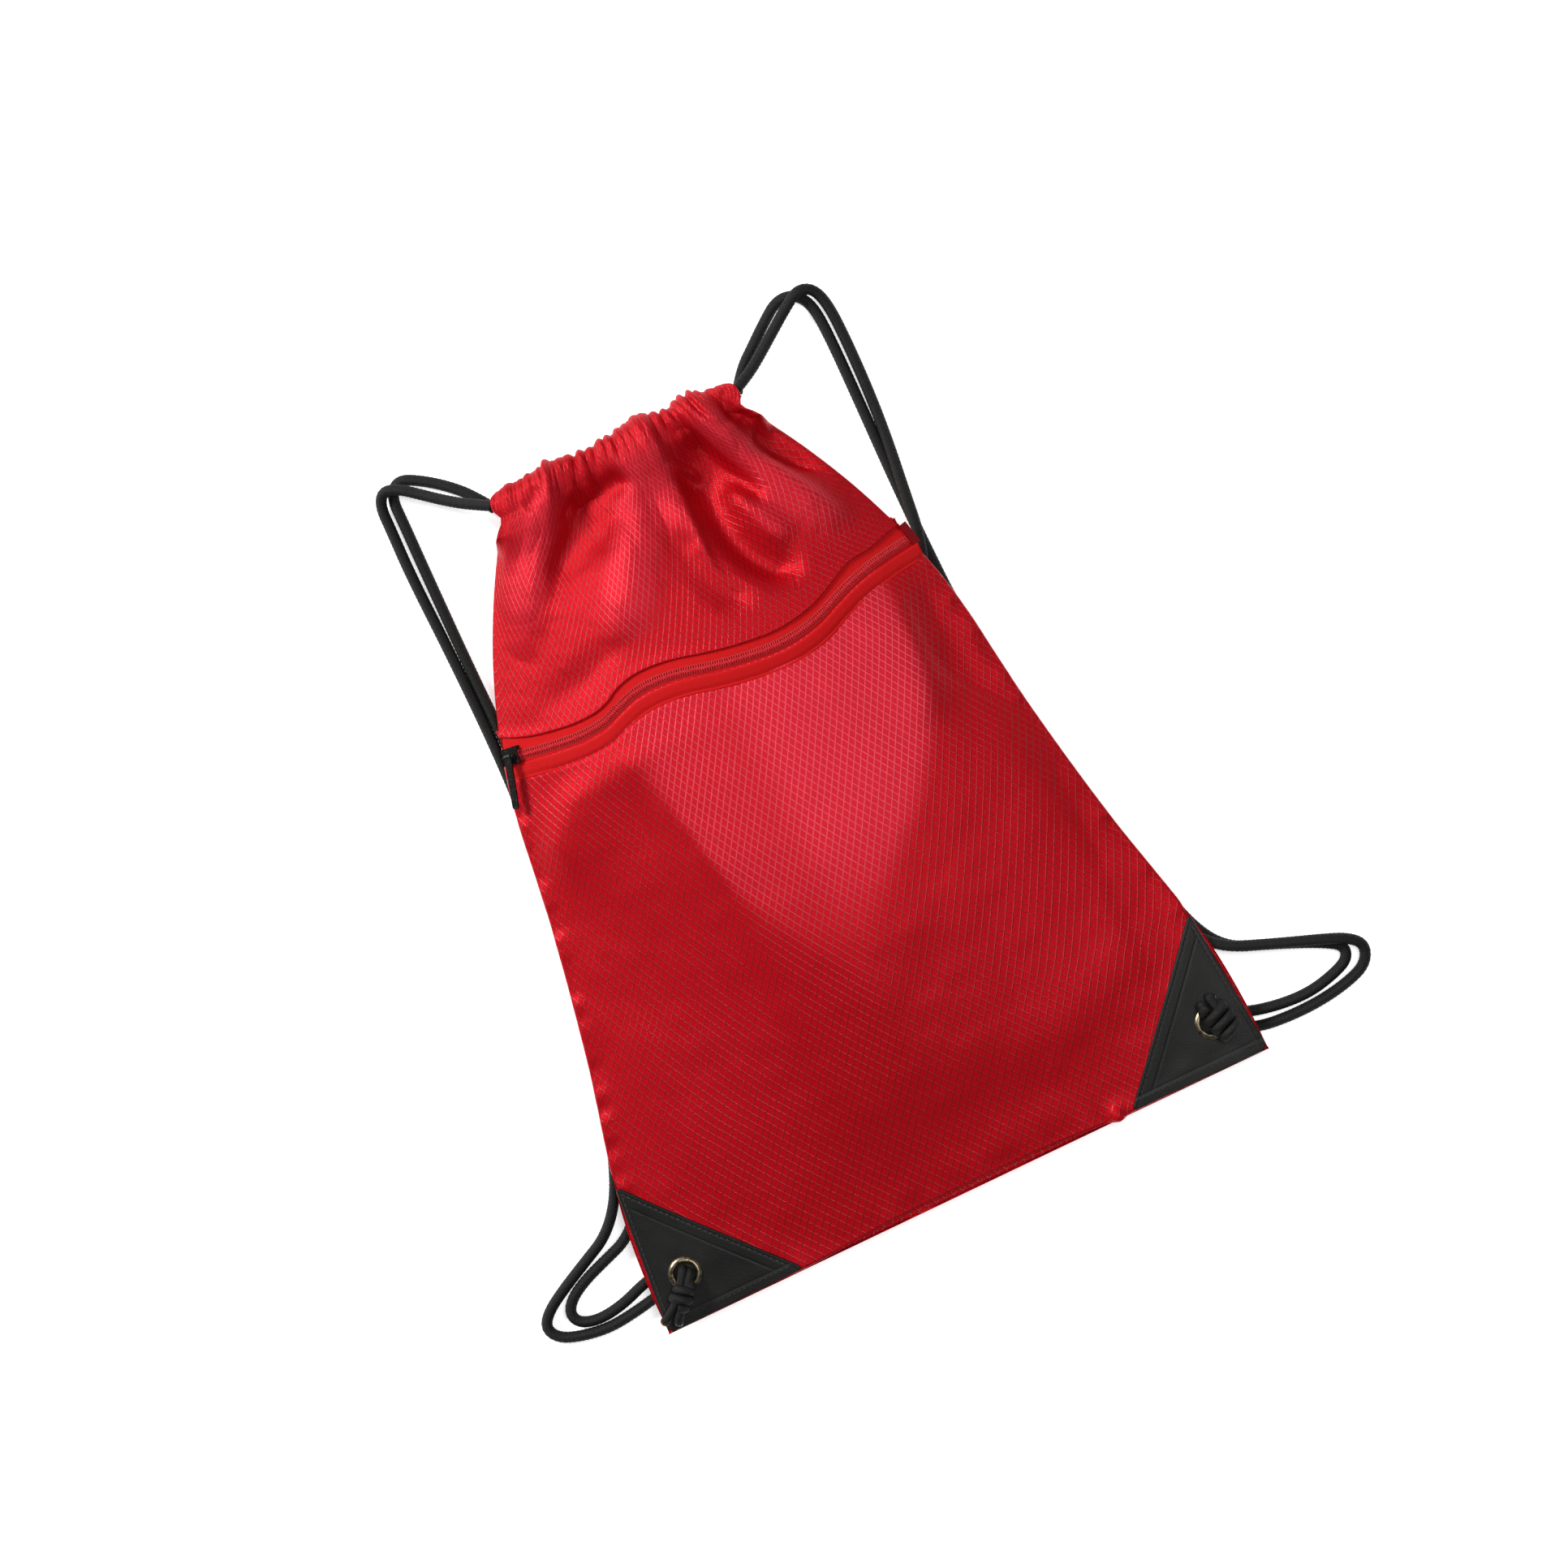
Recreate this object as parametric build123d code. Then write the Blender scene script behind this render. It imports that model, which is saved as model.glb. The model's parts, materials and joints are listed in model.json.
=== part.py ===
from build123d import *
import os
from math import asin, atan2, cos, degrees, pi, radians, sin, tan

# Drawstring backpack lying on its back panel, with its front up. Millimetres.
# X runs across the bag, Y from the bottom seam to the mouth, Z up from the floor.
# The origin is on the floor, in the middle of the bag's own footprint.

# Driving dimensions
BAG_HEIGHT = 444.0
BOTTOM_Y = -BAG_HEIGHT / 2
MOUTH_Y = BAG_HEIGHT / 2
CLOTH = 1.2              # wall of the fabric panels
SEAM_Z = 13.0            # level of the side and bottom seams
SEAM_EDGE = 2.0          # thickness of the sewn edge
SEAM_WIDTH = 3.0         # how far the sewn edge reaches in from the outline
BELLY_Z = -3.0           # how far the belly would sag if the floor did not stop it

CORD = 6.0               # diameter of the braided cord

CASING_WIDTH = 20.0      # across the tunnel at the mouth
CASING_HEIGHT = 9.0
CASING_WALL = 1.0
CASING_HALF_LENGTH = 72.0
CASING_Y = MOUTH_Y - CASING_WIDTH / 2
FRONT_CASING_Z = 24.0
BACK_CASING_Z = 6.0
PANEL_END_Y = MOUTH_Y - CASING_WIDTH + 1.0
LANE_UPPER_Y = CASING_Y + 5.5    # left cord
LANE_LOWER_Y = CASING_Y - 2.0    # right cord
TURN_X = 54.0                    # where a cord turns from the front casing to the back one

ZIP_LEFT = (-124.0, 94.0, 15.0)
ZIP_RIGHT = (123.5, 107.0, 15.0)
ZIP_SAG_Y = -12.5        # how far the middle of the zip drops below its ends
ZIP_RISE = 30.0          # how far the middle of the zip rises over the seams
TAPE_HALF_WIDTH = 8.5    # from the zip's centre line to the edge of a tape
TAPE = 0.8
COIL_GAP = 0.7           # from the zip's centre line to a coil
COIL_RADIUS = 0.9
SLIDER_LENGTH = 9.0
SLIDER_HALF_WIDTH = 4.5
SLIDER_START = 0.2       # from the left end of the zip to the slider, in degrees
SLIDER_PLAY = 0.5        # room between the slider and the tapes
SLIDER_PLATE = 1.2       # upper plate; the lower one is a little thinner
SLIDER_FOOT = 1.1
SLIDER_LIP = 0.9
DIVIDER_HALF_WIDTH = 0.35
END_TAB_LENGTH = 4.5
END_TAB = 1.4
BRIDGE_HEIGHT = 6.1      # of the slider's bar over the zip
BRIDGE_LENGTH = 6.4
BRIDGE_RADIUS = 0.6
BRIDGE_POST = (1.0, 1.6)
PULLER_EYE = 1.5         # radius of the puller's eye
PULLER_EYE_WIDTH = 3.4
PULLER_PLAY = 0.06       # between the eye and the bar
PULLER_LENGTH = 28.0
PULLER_WIDTH = 5.0
PULLER_THICKNESS = 1.4
PULLER_YAW = 8.0         # the puller lies turned outwards by this much, in degrees
PULLER_LIFT = 4.0

PATCH_THICKNESS = 1.0
PATCH_MARGIN = 2.0       # from the outline of the bag to the patch
PATCH_TOP = (169.3, -139.0)      # the patch's upper tip
PATCH_INNER_X = 97.0             # its tip along the bottom seam
LINING = 1.0
GROMMET_X = 155.5
GROMMET_Y = -195.6
GROMMET_BORE = 5.6       # radii
GROMMET_BARREL = 6.2
GROMMET_FLANGE = 9.3
GROMMET_TOP = 15.9       # underside of the front flange
GROMMET_FOOT = 10.9      # upper side of the washer
GROMMET_CRIMP = 1.3      # barrel beyond the flange and the washer
WASHER_RADIUS = 9.0
WASHER = 1.0
KNOT_Z = GROMMET_TOP + 8.2
KNOT_NECK = 5.0          # radii, as are the next two
KNOT_LEFT = 6.2
KNOT_RIGHT = 6.6
KNOT_FOOT_Z = 0.4        # lower end of the strands in the eyelet
LABEL_AT = (-80.2, 190.3)
LABEL_TURN = 59.0        # along the left side seam, in degrees
LABEL_SIZE = (15.5, 4.4, 1.0)

# Stations from the bottom seam to the mouth: y, half width, level of the crown, level of the
# belly, width over which the underside rises to the seam, and how full the upper side is.
STATIONS = [
    (BOTTOM_Y, 177.4, 14.6, 11.4, 85, 0.333),
    (-196, 177.0, 19.0, 9.0, 85, 0.333),
    (-165, 174.5, 25.5, 3.0, 80, 0.333),
    (-134, 169.0, 31.0, BELLY_Z, 70, 0.333),
    (-70, 153.8, 39.0, BELLY_Z, 62, 0.333),
    (0, 140.8, 44.0, BELLY_Z, 62, 0.333),
    (66, 131.5, 46.0, BELLY_Z, 62, 0.333),
    (106, 121.5, 44.6, BELLY_Z, 60, 0.333),
    (140, 109.0, 39.5, BELLY_Z, 56, 0.42),
    (172, 93.5, 32.5, -0.5, 50, 0.65),
    (PANEL_END_Y, 75.5, 24.6, 5.4, 34, 1.1),
]


def save(node, shape):
    """Write one piece of the bag to its own file."""
    export_step(shape, f"parts/{node}.step")


# Bag body -----------------------------------------------------------------------------


def section(station, lift, inset, edge):
    """Close one cross-section, grown by lift, narrowed by inset, with a side edge this tall."""
    y, half_width, crown, belly, rise, fullness = station
    half = half_width - inset
    low = SEAM_Z - edge / 2
    high = SEAM_Z + edge / 2
    reach = rise - inset
    floor = belly - lift
    arch = (crown + lift - high) / 0.75
    side = fullness * half
    top = Bezier(
        (-half, y, high), (-side, y, high + arch), (side, y, high + arch), (half, y, high)
    )
    right = Line((half, y, high), (half, y, low))
    rise_right = Bezier(
        (half, y, low),
        (half - reach / 3, y, low),
        (half - 2 * reach / 3, y, floor),
        (half - reach, y, floor),
    )
    belly_line = Line((half - reach, y, floor), (reach - half, y, floor))
    rise_left = Bezier(
        (reach - half, y, floor),
        (2 * reach / 3 - half, y, floor),
        (reach / 3 - half, y, low),
        (-half, y, low),
    )
    left = Line((-half, y, low), (-half, y, high))
    return Face(Wire([top, right, rise_right, belly_line, rise_left, left]))


def between(first, second, y):
    """Work out the station at y, between two neighbours."""
    share = (y - first[0]) / (second[0] - first[0])
    values = [a + share * (b - a) for a, b in zip(first[1:], second[1:])]
    return (y, *values)


def envelope(lift, stations, inset=0.0, edge=SEAM_EDGE):
    """Loft the bag's outline, with its belly flattened by the floor."""
    body = loft([section(station, lift, inset, edge) for station in stations])
    floor = min(0.0, -lift) if lift > 0 else -lift
    return split(body, bisect_by=Plane.XY.offset(floor), keep=Keep.TOP)


def bag_shell():
    """Hollow the bag's body, open at the mouth."""
    inner_start = between(STATIONS[0], STATIONS[1], BOTTOM_Y + SEAM_WIDTH + 0.5)
    inner_end = between(STATIONS[-2], STATIONS[-1], PANEL_END_Y + 1.0)
    inner_stations = [inner_start, *STATIONS[1:-1], inner_end]
    inner = envelope(-CLOTH, inner_stations, SEAM_WIDTH, 0.4)
    return envelope(0.0, STATIONS) - inner


# Zip ----------------------------------------------------------------------------------
# The zip's centre line is an arc of a circle, so the slider turns about the circle's centre.

chord = Vector(*ZIP_RIGHT) - Vector(*ZIP_LEFT)
chord_middle = (Vector(*ZIP_RIGHT) + Vector(*ZIP_LEFT)) * 0.5
along = chord.normalized()
bulge = Vector(0, ZIP_SAG_Y, ZIP_RISE)
bulge = bulge - along * bulge.dot(along)
outward = bulge.normalized()
half_chord = chord.length / 2
ZIP_RADIUS = (half_chord**2 + bulge.length**2) / (2 * bulge.length)
ZIP_HALF_ANGLE = degrees(asin(half_chord / ZIP_RADIUS))
zip_centre = chord_middle + bulge - outward * ZIP_RADIUS
zip_axis = outward.cross(along)
zip_place = Plane(origin=zip_centre, x_dir=outward, z_dir=zip_axis).location
# The tapes lie level across their width in the middle of the zip.
LEAN = atan2(-outward.Y, zip_axis.Y)


def zip_run(outline, start, end):
    """Turn an outline, given across and above the zip, along the zip's arc, in degrees."""
    points = [
        (ZIP_RADIUS - u * sin(LEAN) + v * cos(LEAN), 0, u * cos(LEAN) + v * sin(LEAN))
        for u, v in outline
    ]
    profile = make_face(Polyline(*points, close=True))
    return zip_place * (Rot(0, 0, start) * revolve(profile, Axis.Z, end - start))


def bar_outline(low_u, high_u, low_v, high_v):
    return [(low_u, low_v), (high_u, low_v), (high_u, high_v), (low_u, high_v)]


def coil_outline(side):
    """Round the section of a coil with an octagon that has the coil's area."""
    middle_u = side * (COIL_GAP + COIL_RADIUS)
    middle_v = TAPE / 2 + COIL_RADIUS
    corners = [radians(22.5 + 45 * k) for k in range(8)]
    reach = COIL_RADIUS / cos(radians(22.5))
    return [(middle_u + reach * cos(a), middle_v + reach * sin(a)) for a in corners]


def arc_degrees(length):
    """Give the angle that a length takes on the zip's arc."""
    return degrees(length / ZIP_RADIUS)


def zip_point(angle, across=0.0, above=0.0):
    """Place a point and its frame on the zip: x along, y across, z above."""
    turn = radians(angle)
    radial = outward * cos(turn) + along * sin(turn)
    tangent = along * cos(turn) - outward * sin(turn)
    wide = zip_axis * cos(LEAN) - radial * sin(LEAN)
    normal = radial * cos(LEAN) + zip_axis * sin(LEAN)
    origin = zip_centre + radial * ZIP_RADIUS + wide * across + normal * above
    return Plane(origin=origin, x_dir=tangent, z_dir=normal)


def make_zip():
    start = -ZIP_HALF_ANGLE
    end = ZIP_HALF_ANGLE
    for name, side in (("upper", 1), ("lower", -1)):
        edges = sorted([side * COIL_GAP, side * TAPE_HALF_WIDTH])
        tape = zip_run(bar_outline(*edges, -TAPE / 2, TAPE / 2), start, end)
        save(f"zip_tape_{name}", tape)
        save(f"zip_coil_{name}", zip_run(coil_outline(side), start, end))
    tab_low = TAPE / 2 + 2 * COIL_RADIUS
    outline = bar_outline(-4, 9, tab_low, tab_low + END_TAB)
    tab = zip_run(outline, end - arc_degrees(END_TAB_LENGTH), end)
    save("zip_end_tab", tab)


def make_slider():
    """Two plates joined by a divider between the coils, with a bar along the top."""
    middle = -ZIP_HALF_ANGLE + arc_degrees(SLIDER_LENGTH / 2) + SLIDER_START
    first = middle - arc_degrees(SLIDER_LENGTH / 2)
    last = middle + arc_degrees(SLIDER_LENGTH / 2)
    coil_top = TAPE / 2 + 2 * COIL_RADIUS
    plate_low = coil_top + SLIDER_PLAY
    plate_high = plate_low + SLIDER_PLATE
    half = SLIDER_HALF_WIDTH
    under = -TAPE / 2 - SLIDER_PLAY
    body = zip_run(bar_outline(-half, half, plate_low, plate_high), first, last)
    body += zip_run(bar_outline(-half, half, under - SLIDER_FOOT, under), first, last)
    divider = DIVIDER_HALF_WIDTH
    tongue = bar_outline(-divider, divider, under - 0.5, plate_low + 0.5)
    body += zip_run(tongue, first, first + arc_degrees(3.5))
    for side in (-1, 1):
        lip = sorted([side * (half - SLIDER_LIP), side * half])
        body += zip_run(bar_outline(*lip, TAPE / 2 + SLIDER_PLAY, plate_low + 0.4), first, last)
    bar_frame = zip_point(middle, above=BRIDGE_HEIGHT).location
    bar = Rot(0, 90, 0) * Cylinder(BRIDGE_RADIUS, BRIDGE_LENGTH)
    thick, wide = BRIDGE_POST
    drop = BRIDGE_HEIGHT - plate_high
    posts = [
        Pos(end * (BRIDGE_LENGTH - thick) / 2, 0, -(drop + 0.4) / 2) * Box(thick, wide, drop + 1.2)
        for end in (-1, 1)
    ]
    body += bar_frame * (bar + posts)
    save("zip_slider", body)

    hole = Cylinder(BRIDGE_RADIUS + PULLER_PLAY, 4)
    eye = Rot(0, 90, 0) * (Cylinder(PULLER_EYE, PULLER_EYE_WIDTH) - hole)
    blade_start = 0.9
    blade = Box(PULLER_WIDTH, PULLER_LENGTH - blade_start, PULLER_THICKNESS)
    blade = fillet(blade.edges().filter_by(Axis.Z), 1.6)
    blade = Pos(0, -(PULLER_LENGTH + blade_start) / 2, 0) * blade
    blade = Rot(-PULLER_LIFT, 0, 0) * (Rot(0, 0, -PULLER_YAW) * blade)
    blade -= Rot(0, 90, 0) * Cylinder(1.1, 20)
    blade = blade.solids().sort_by(SortBy.VOLUME)[-1]
    puller = bar_frame * (eye + blade)
    save("zip_puller", puller)

    here = zip_point(middle, above=BRIDGE_HEIGHT)
    travel = 2 * ZIP_HALF_ANGLE - 2 * arc_degrees(SLIDER_LENGTH / 2) - SLIDER_START - 2.0
    print("zip hinge at", zip_centre, "axis", zip_axis, "travel", round(travel, 2))
    print("zip radius", round(ZIP_RADIUS, 2), "half angle", round(ZIP_HALF_ANGLE, 2))
    print("puller hinge at", here.origin, "axis", here.x_dir)


# Panels, lining and patches -----------------------------------------------------------


def grommet_hole(side):
    return Pos(side * GROMMET_X, GROMMET_Y, 20) * Cylinder(GROMMET_BARREL + 0.05, 60)


def patch_prism(side):
    """Stand the outline of a corner patch up as a prism."""
    corners = [
        (side * (STATIONS[0][1] - PATCH_MARGIN), BOTTOM_Y + PATCH_MARGIN),
        (side * PATCH_TOP[0], PATCH_TOP[1]),
        (side * PATCH_INNER_X, BOTTOM_Y + PATCH_MARGIN),
    ]
    triangle = make_face(Polyline(*corners, close=True))
    triangle = fillet(triangle.vertices().sort_by(Axis.Y)[:2], 2.5)
    return extrude(triangle, 60)


def make_body():
    shell = bag_shell()
    holes = [grommet_hole(-1), grommet_hole(1)]
    back = split(shell, bisect_by=Plane.XY.offset(SEAM_Z), keep=Keep.BOTTOM)
    front = split(shell, bisect_by=Plane.XY.offset(SEAM_Z), keep=Keep.TOP)
    back -= holes
    front -= holes
    half = TAPE_HALF_WIDTH
    window = bar_outline(-half, half, -9, 14)
    front -= zip_run(window, -ZIP_HALF_ANGLE - 4, ZIP_HALF_ANGLE + 4)
    panels = front.solids().sort_by(Axis.Y)
    save("back_panel", back)
    save("front_lower_panel", panels[0])
    save("front_upper_panel", panels[-1])
    print("front solids", [round(p.volume) for p in panels])

    skin = envelope(PATCH_THICKNESS, STATIONS, edge=SEAM_EDGE + 2 * PATCH_THICKNESS)
    core = envelope(0.0, STATIONS)
    for name, side in (("left", -1), ("right", 1)):
        patch = (skin & patch_prism(side)) - core - grommet_hole(side)
        faces = patch.solids().sort_by(Axis.Z)
        save(f"corner_patch_back_{name}", faces[0])
        save(f"corner_patch_front_{name}", faces[-1])
        print("patch solids", name, [round(f.volume) for f in faces])


def lining_section(y, half, edge_z, crown):
    """Close a thin arched section of the pocket's inner wall."""
    arch = (crown - edge_z) / 0.75
    rows = []
    for drop in (0.0, LINING):
        low = edge_z - drop
        high = low + arch
        rows.append([(-half, y, low), (-half / 3, y, high), (half / 3, y, high), (half, y, low)])
    top = Bezier(*rows[0])
    bottom = Bezier(*rows[1][::-1])
    right = Line(rows[0][-1], rows[1][-1])
    left = Line(rows[1][0], rows[0][0])
    return Face(Wire([top, right, bottom, left]))


def make_lining():
    """The pocket hangs behind the front, from the zip down to a seam on the front panel."""
    sections = [
        lining_section(-110, 132, 14.6, 32.6),
        lining_section(-85, 132, 14.2, 32.0),
        lining_section(-40, 128, 14.2, 34.0),
        lining_section(20, 120, 14.2, 36.5),
        lining_section(74, 112, 14.2, 37.5),
    ]
    save("pocket_lining", loft(sections))


# Casings ------------------------------------------------------------------------------


def casing_tube(z):
    """A flattened tunnel along the mouth, open at both ends."""
    outer = SlotOverall(CASING_WIDTH, CASING_HEIGHT)
    inner = SlotOverall(CASING_WIDTH - 2 * CASING_WALL, CASING_HEIGHT - 2 * CASING_WALL)
    profile = Plane((0, CASING_Y, z), x_dir=(0, 1, 0), z_dir=(1, 0, 0)) * (outer - inner)
    return extrude(profile, CASING_HALF_LENGTH, both=True)


def make_casings():
    """Each tunnel has a slit on the side of the other where a cord turns between them."""
    for name, z, facing in (("front", FRONT_CASING_Z, -1), ("back", BACK_CASING_Z, 1)):
        casing = casing_tube(z)
        for side, lane in ((1, LANE_UPPER_Y), (-1, LANE_LOWER_Y)):
            slit = Box(14, CORD + 1.4, CASING_HEIGHT)
            casing -= Pos(side * (TURN_X - 3), lane, z + facing * CASING_HEIGHT / 2) * slit
        save(f"casing_{name}", casing)


# Cords --------------------------------------------------------------------------------

CORD_LEFT_INNER = [
    (-72, 217.5, 6), (-79.5, 229, 5.2), (-89, 239, 4), (-100.5, 248, 3), (-112.5, 254.5, 3),
    (-119.8, 247.5, 3), (-119.9, 231, 3), (-120.6, 200, 3), (-121.3, 150, 3), (-121.0, 100, 3),
    (-122.2, 60, 3), (-127.7, 20, 3), (-134.1, -20, 3), (-141.0, -62, 3), (-149.0, -100, 3),
    (-157.5, -132, 3), (-166.5, -156, 3), (-178, -167.5, 3), (-192, -172.3, 3), (-206, -177.2, 3),
    (-216.8, -183, 3), (-222.2, -190, 3), (-219.6, -197, 3), (-209, -200, 3), (-194, -198, 3),
    (-179, -192.6, 3), (-166, -190.5, 3.2), (-157.5, -193.2, 4),
]
CORD_LEFT_OUTER = [
    (-72, 217.5, 24), (-84, 224.5, 19.5), (-94.5, 232.5, 14.5), (-104.5, 241, 10.4),
    (-114, 248.8, 9.8), (-122.4, 251.5, 8.4), (-127.2, 245, 4.6), (-127.5, 231, 3),
    (-128.4, 205, 3), (-127.4, 155, 3), (-127.9, 100, 3), (-129.1, 60, 3), (-134.5, 20, 3),
    (-141.0, -20, 3), (-148.2, -62, 3), (-156.4, -98, 3), (-164.8, -125, 3), (-174, -146, 3),
    (-187, -161, 3), (-203, -168.8, 3), (-219, -176.8, 3), (-231.5, -184.2, 3),
    (-237.2, -191.5, 3), (-233.5, -199.2, 3), (-222, -203.8, 3), (-206, -206.3, 3),
    (-190, -204.6, 3), (-174, -201.6, 3), (-164, -199.6, 3.4), (-157.5, -198, 4),
]
CORD_RIGHT_INNER = [
    (72, 217.5, 6), (79.5, 228, 5.2), (90, 236.5, 4), (101, 245.5, 3), (112.5, 253.8, 3),
    (123, 252.5, 3), (129.3, 243, 3), (130.2, 222, 3), (129.4, 180, 3), (128.4, 140, 3),
    (128.3, 100, 3), (128.9, 62, 3), (134.5, 20, 3), (141.0, -20, 3), (148.2, -62, 3),
    (156.4, -98, 3), (164.4, -128, 3), (172.4, -152, 3), (183.5, -165.3, 3), (200, -171.6, 3),
    (216, -178.2, 3), (229, -184.2, 3), (239, -190.4, 3), (237.4, -197.9, 3),
    (227, -202.2, 3), (212, -205.4, 3), (196, -204.8, 3), (179.5, -201.6, 3),
    (168, -196.5, 3.4), (159, -194, 4),
]
CORD_RIGHT_OUTER = [
    (72, 217.5, 24), (82, 222.8, 19.5), (93, 230.8, 14.5), (104, 239.2, 10.4),
    (114.5, 246.8, 9.3), (124.5, 253.4, 9), (133, 250.8, 5.6), (136.9, 240, 3), (137.4, 218, 3),
    (136.4, 186, 3.4), (133.8, 158, 6.8), (130.4, 132, 9.4), (127.4, 106, 9.6),
    (120.4, 84, 5.6), (120.4, 56, 3), (127.2, 18, 3), (133.8, -22, 3), (141.0, -62, 3),
    (149.3, -100, 3), (157.8, -132, 3.8), (168.2, -151.5, 7.6), (180, -163, 9.4), (196, -169.6, 9.4),
    (214, -176.4, 9.4), (229.5, -182, 9.4), (242.2, -187.4, 7.4), (249.4, -194.8, 3.4),
    (245, -204.6, 3), (232, -209.4, 3), (214, -212.2, 3), (196, -212.4, 3), (179, -210.6, 3),
    (167, -204.8, 3.4), (159, -199.5, 4),
]


def tube(name, route):
    """Run a cord along straight stretches joined by tangent arcs."""
    points = [Vector(*p) for p in route]
    runs = [b - a for a, b in zip(points, points[1:])]
    radii = []
    for before, after in zip(runs, runs[1:]):
        half_turn = radians(before.get_angle(after)) / 2
        radii.append(0.45 * min(before.length, after.length) / tan(half_turn))
    path = FilletPolyline(*points, radius=radii)
    section_plane = Plane(origin=points[0], z_dir=runs[0])
    solid = sweep(section_plane * Circle(CORD / 2), path=path)
    expected = pi * (CORD / 2) ** 2 * path.length
    print(
        name, "length", round(path.length, 1), "radii", [round(r) for r in radii],
        "volume share", round(solid.volume / expected, 4),
    )
    return solid


def make_cords():
    save("cord_left_inner", tube("cord_left_inner", CORD_LEFT_INNER))
    save("cord_left_outer", tube("cord_left_outer", CORD_LEFT_OUTER))
    save("cord_right_inner", tube("cord_right_inner", CORD_RIGHT_INNER))
    save("cord_right_outer", tube("cord_right_outer", CORD_RIGHT_OUTER))

    end = CASING_HALF_LENGTH
    high = FRONT_CASING_Z
    low = BACK_CASING_Z
    left = [
        (-end, LANE_UPPER_Y, high), (TURN_X, LANE_UPPER_Y, high),
        (TURN_X, LANE_UPPER_Y, low), (-end, LANE_UPPER_Y, low),
    ]
    bend = TURN_X + 6
    right = [
        (end, LANE_UPPER_Y, high), (bend, LANE_LOWER_Y, high), (-TURN_X, LANE_LOWER_Y, high),
        (-TURN_X, LANE_LOWER_Y, low), (bend, LANE_LOWER_Y, low), (end, LANE_UPPER_Y, low),
    ]
    turn = (high - low) / 2 - 0.05
    for name, route, radii in (
        ("left", left, [turn, turn]),
        ("right", right, [18, turn, turn, 18]),
    ):
        path = FilletPolyline(*route, radius=radii)
        start = Vector(*route[0])
        plane = Plane(origin=start, z_dir=Vector(*route[1]) - start)
        save(f"cord_{name}_casing", sweep(plane * Circle(CORD / 2), path=path))
        print("casing cord", name, round(path.length, 1))


# Grommets and knots -------------------------------------------------------------------


def make_grommets():
    """A rolled eyelet through both faces of the corner, closed on the back by a washer."""
    for name, side in (("left", -1), ("right", 1)):
        at = Pos(side * GROMMET_X, GROMMET_Y, 0)
        barrel = Pos(0, 0, (GROMMET_TOP + GROMMET_FOOT) / 2) * Cylinder(
            GROMMET_BARREL, GROMMET_TOP - GROMMET_FOOT + 2 * GROMMET_CRIMP
        )
        rim = (GROMMET_FLANGE + GROMMET_BORE) / 2
        roll = (GROMMET_FLANGE - GROMMET_BORE) / 2
        half_round = Circle(roll) - Pos(0, -roll) * Rectangle(3 * roll, 2 * roll)
        ring = revolve(Plane.XZ * (Pos(rim, GROMMET_TOP) * half_round), Axis.Z)
        bore = Cylinder(GROMMET_BORE, 80)
        save(f"grommet_{name}", at * (barrel + ring - bore))
        disc = Cylinder(WASHER_RADIUS, WASHER) - Cylinder(GROMMET_BARREL, 2 * WASHER)
        washer = Pos(0, 0, GROMMET_FOOT - WASHER / 2) * disc
        save(f"grommet_washer_{name}", at * washer)


def capsule(start, end, radius):
    """A round bar with ball ends."""
    first = Vector(*start)
    last = Vector(*end)
    rod = Plane(origin=first, z_dir=last - first) * Cylinder(
        radius, (last - first).length, align=(Align.CENTER, Align.CENTER, Align.MIN)
    )
    return rod + Pos(first) * Sphere(radius) + Pos(last) * Sphere(radius)


def make_knots():
    """Both strands of a cord come up through the eyelet and are knotted on the front."""
    top = KNOT_Z
    reach = top - KNOT_FOOT_Z
    neck = Cylinder(KNOT_NECK, reach, align=(Align.CENTER, Align.CENTER, Align.MIN))
    left = Pos(-GROMMET_X, GROMMET_Y, KNOT_FOOT_Z) * neck
    left += capsule((-156, -199.5, top), (-166, -208.5, top), KNOT_LEFT)
    left += capsule((-166, -208.5, top - 2), (-171, -213.5, top - 3.4), CORD / 2 - 0.2)
    save("knot_left", left)
    right = Pos(GROMMET_X, GROMMET_Y, KNOT_FOOT_Z) * neck
    right += capsule((157.5, -188, top), (161.5, -200.5, top), KNOT_RIGHT)
    right += capsule((157, -188, top), (154.5, -186.5, top - 1.6), KNOT_RIGHT - 2)
    save("knot_right", right)


def make_label():
    """A folded tab in the left side seam, near the mouth."""
    save("side_label", Pos(*LABEL_AT, SEAM_Z) * (Rot(0, 0, LABEL_TURN) * Box(*LABEL_SIZE)))


os.makedirs("parts", exist_ok=True)
make_body()
make_lining()
make_casings()
make_zip()
make_slider()
make_grommets()
make_knots()
make_cords()
make_label()
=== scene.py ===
"""Looks of the drawstring backpack. Shapes are worked out in millimetres and scaled by make_mesh."""
import json
from math import cos, pi, radians, sin

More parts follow.
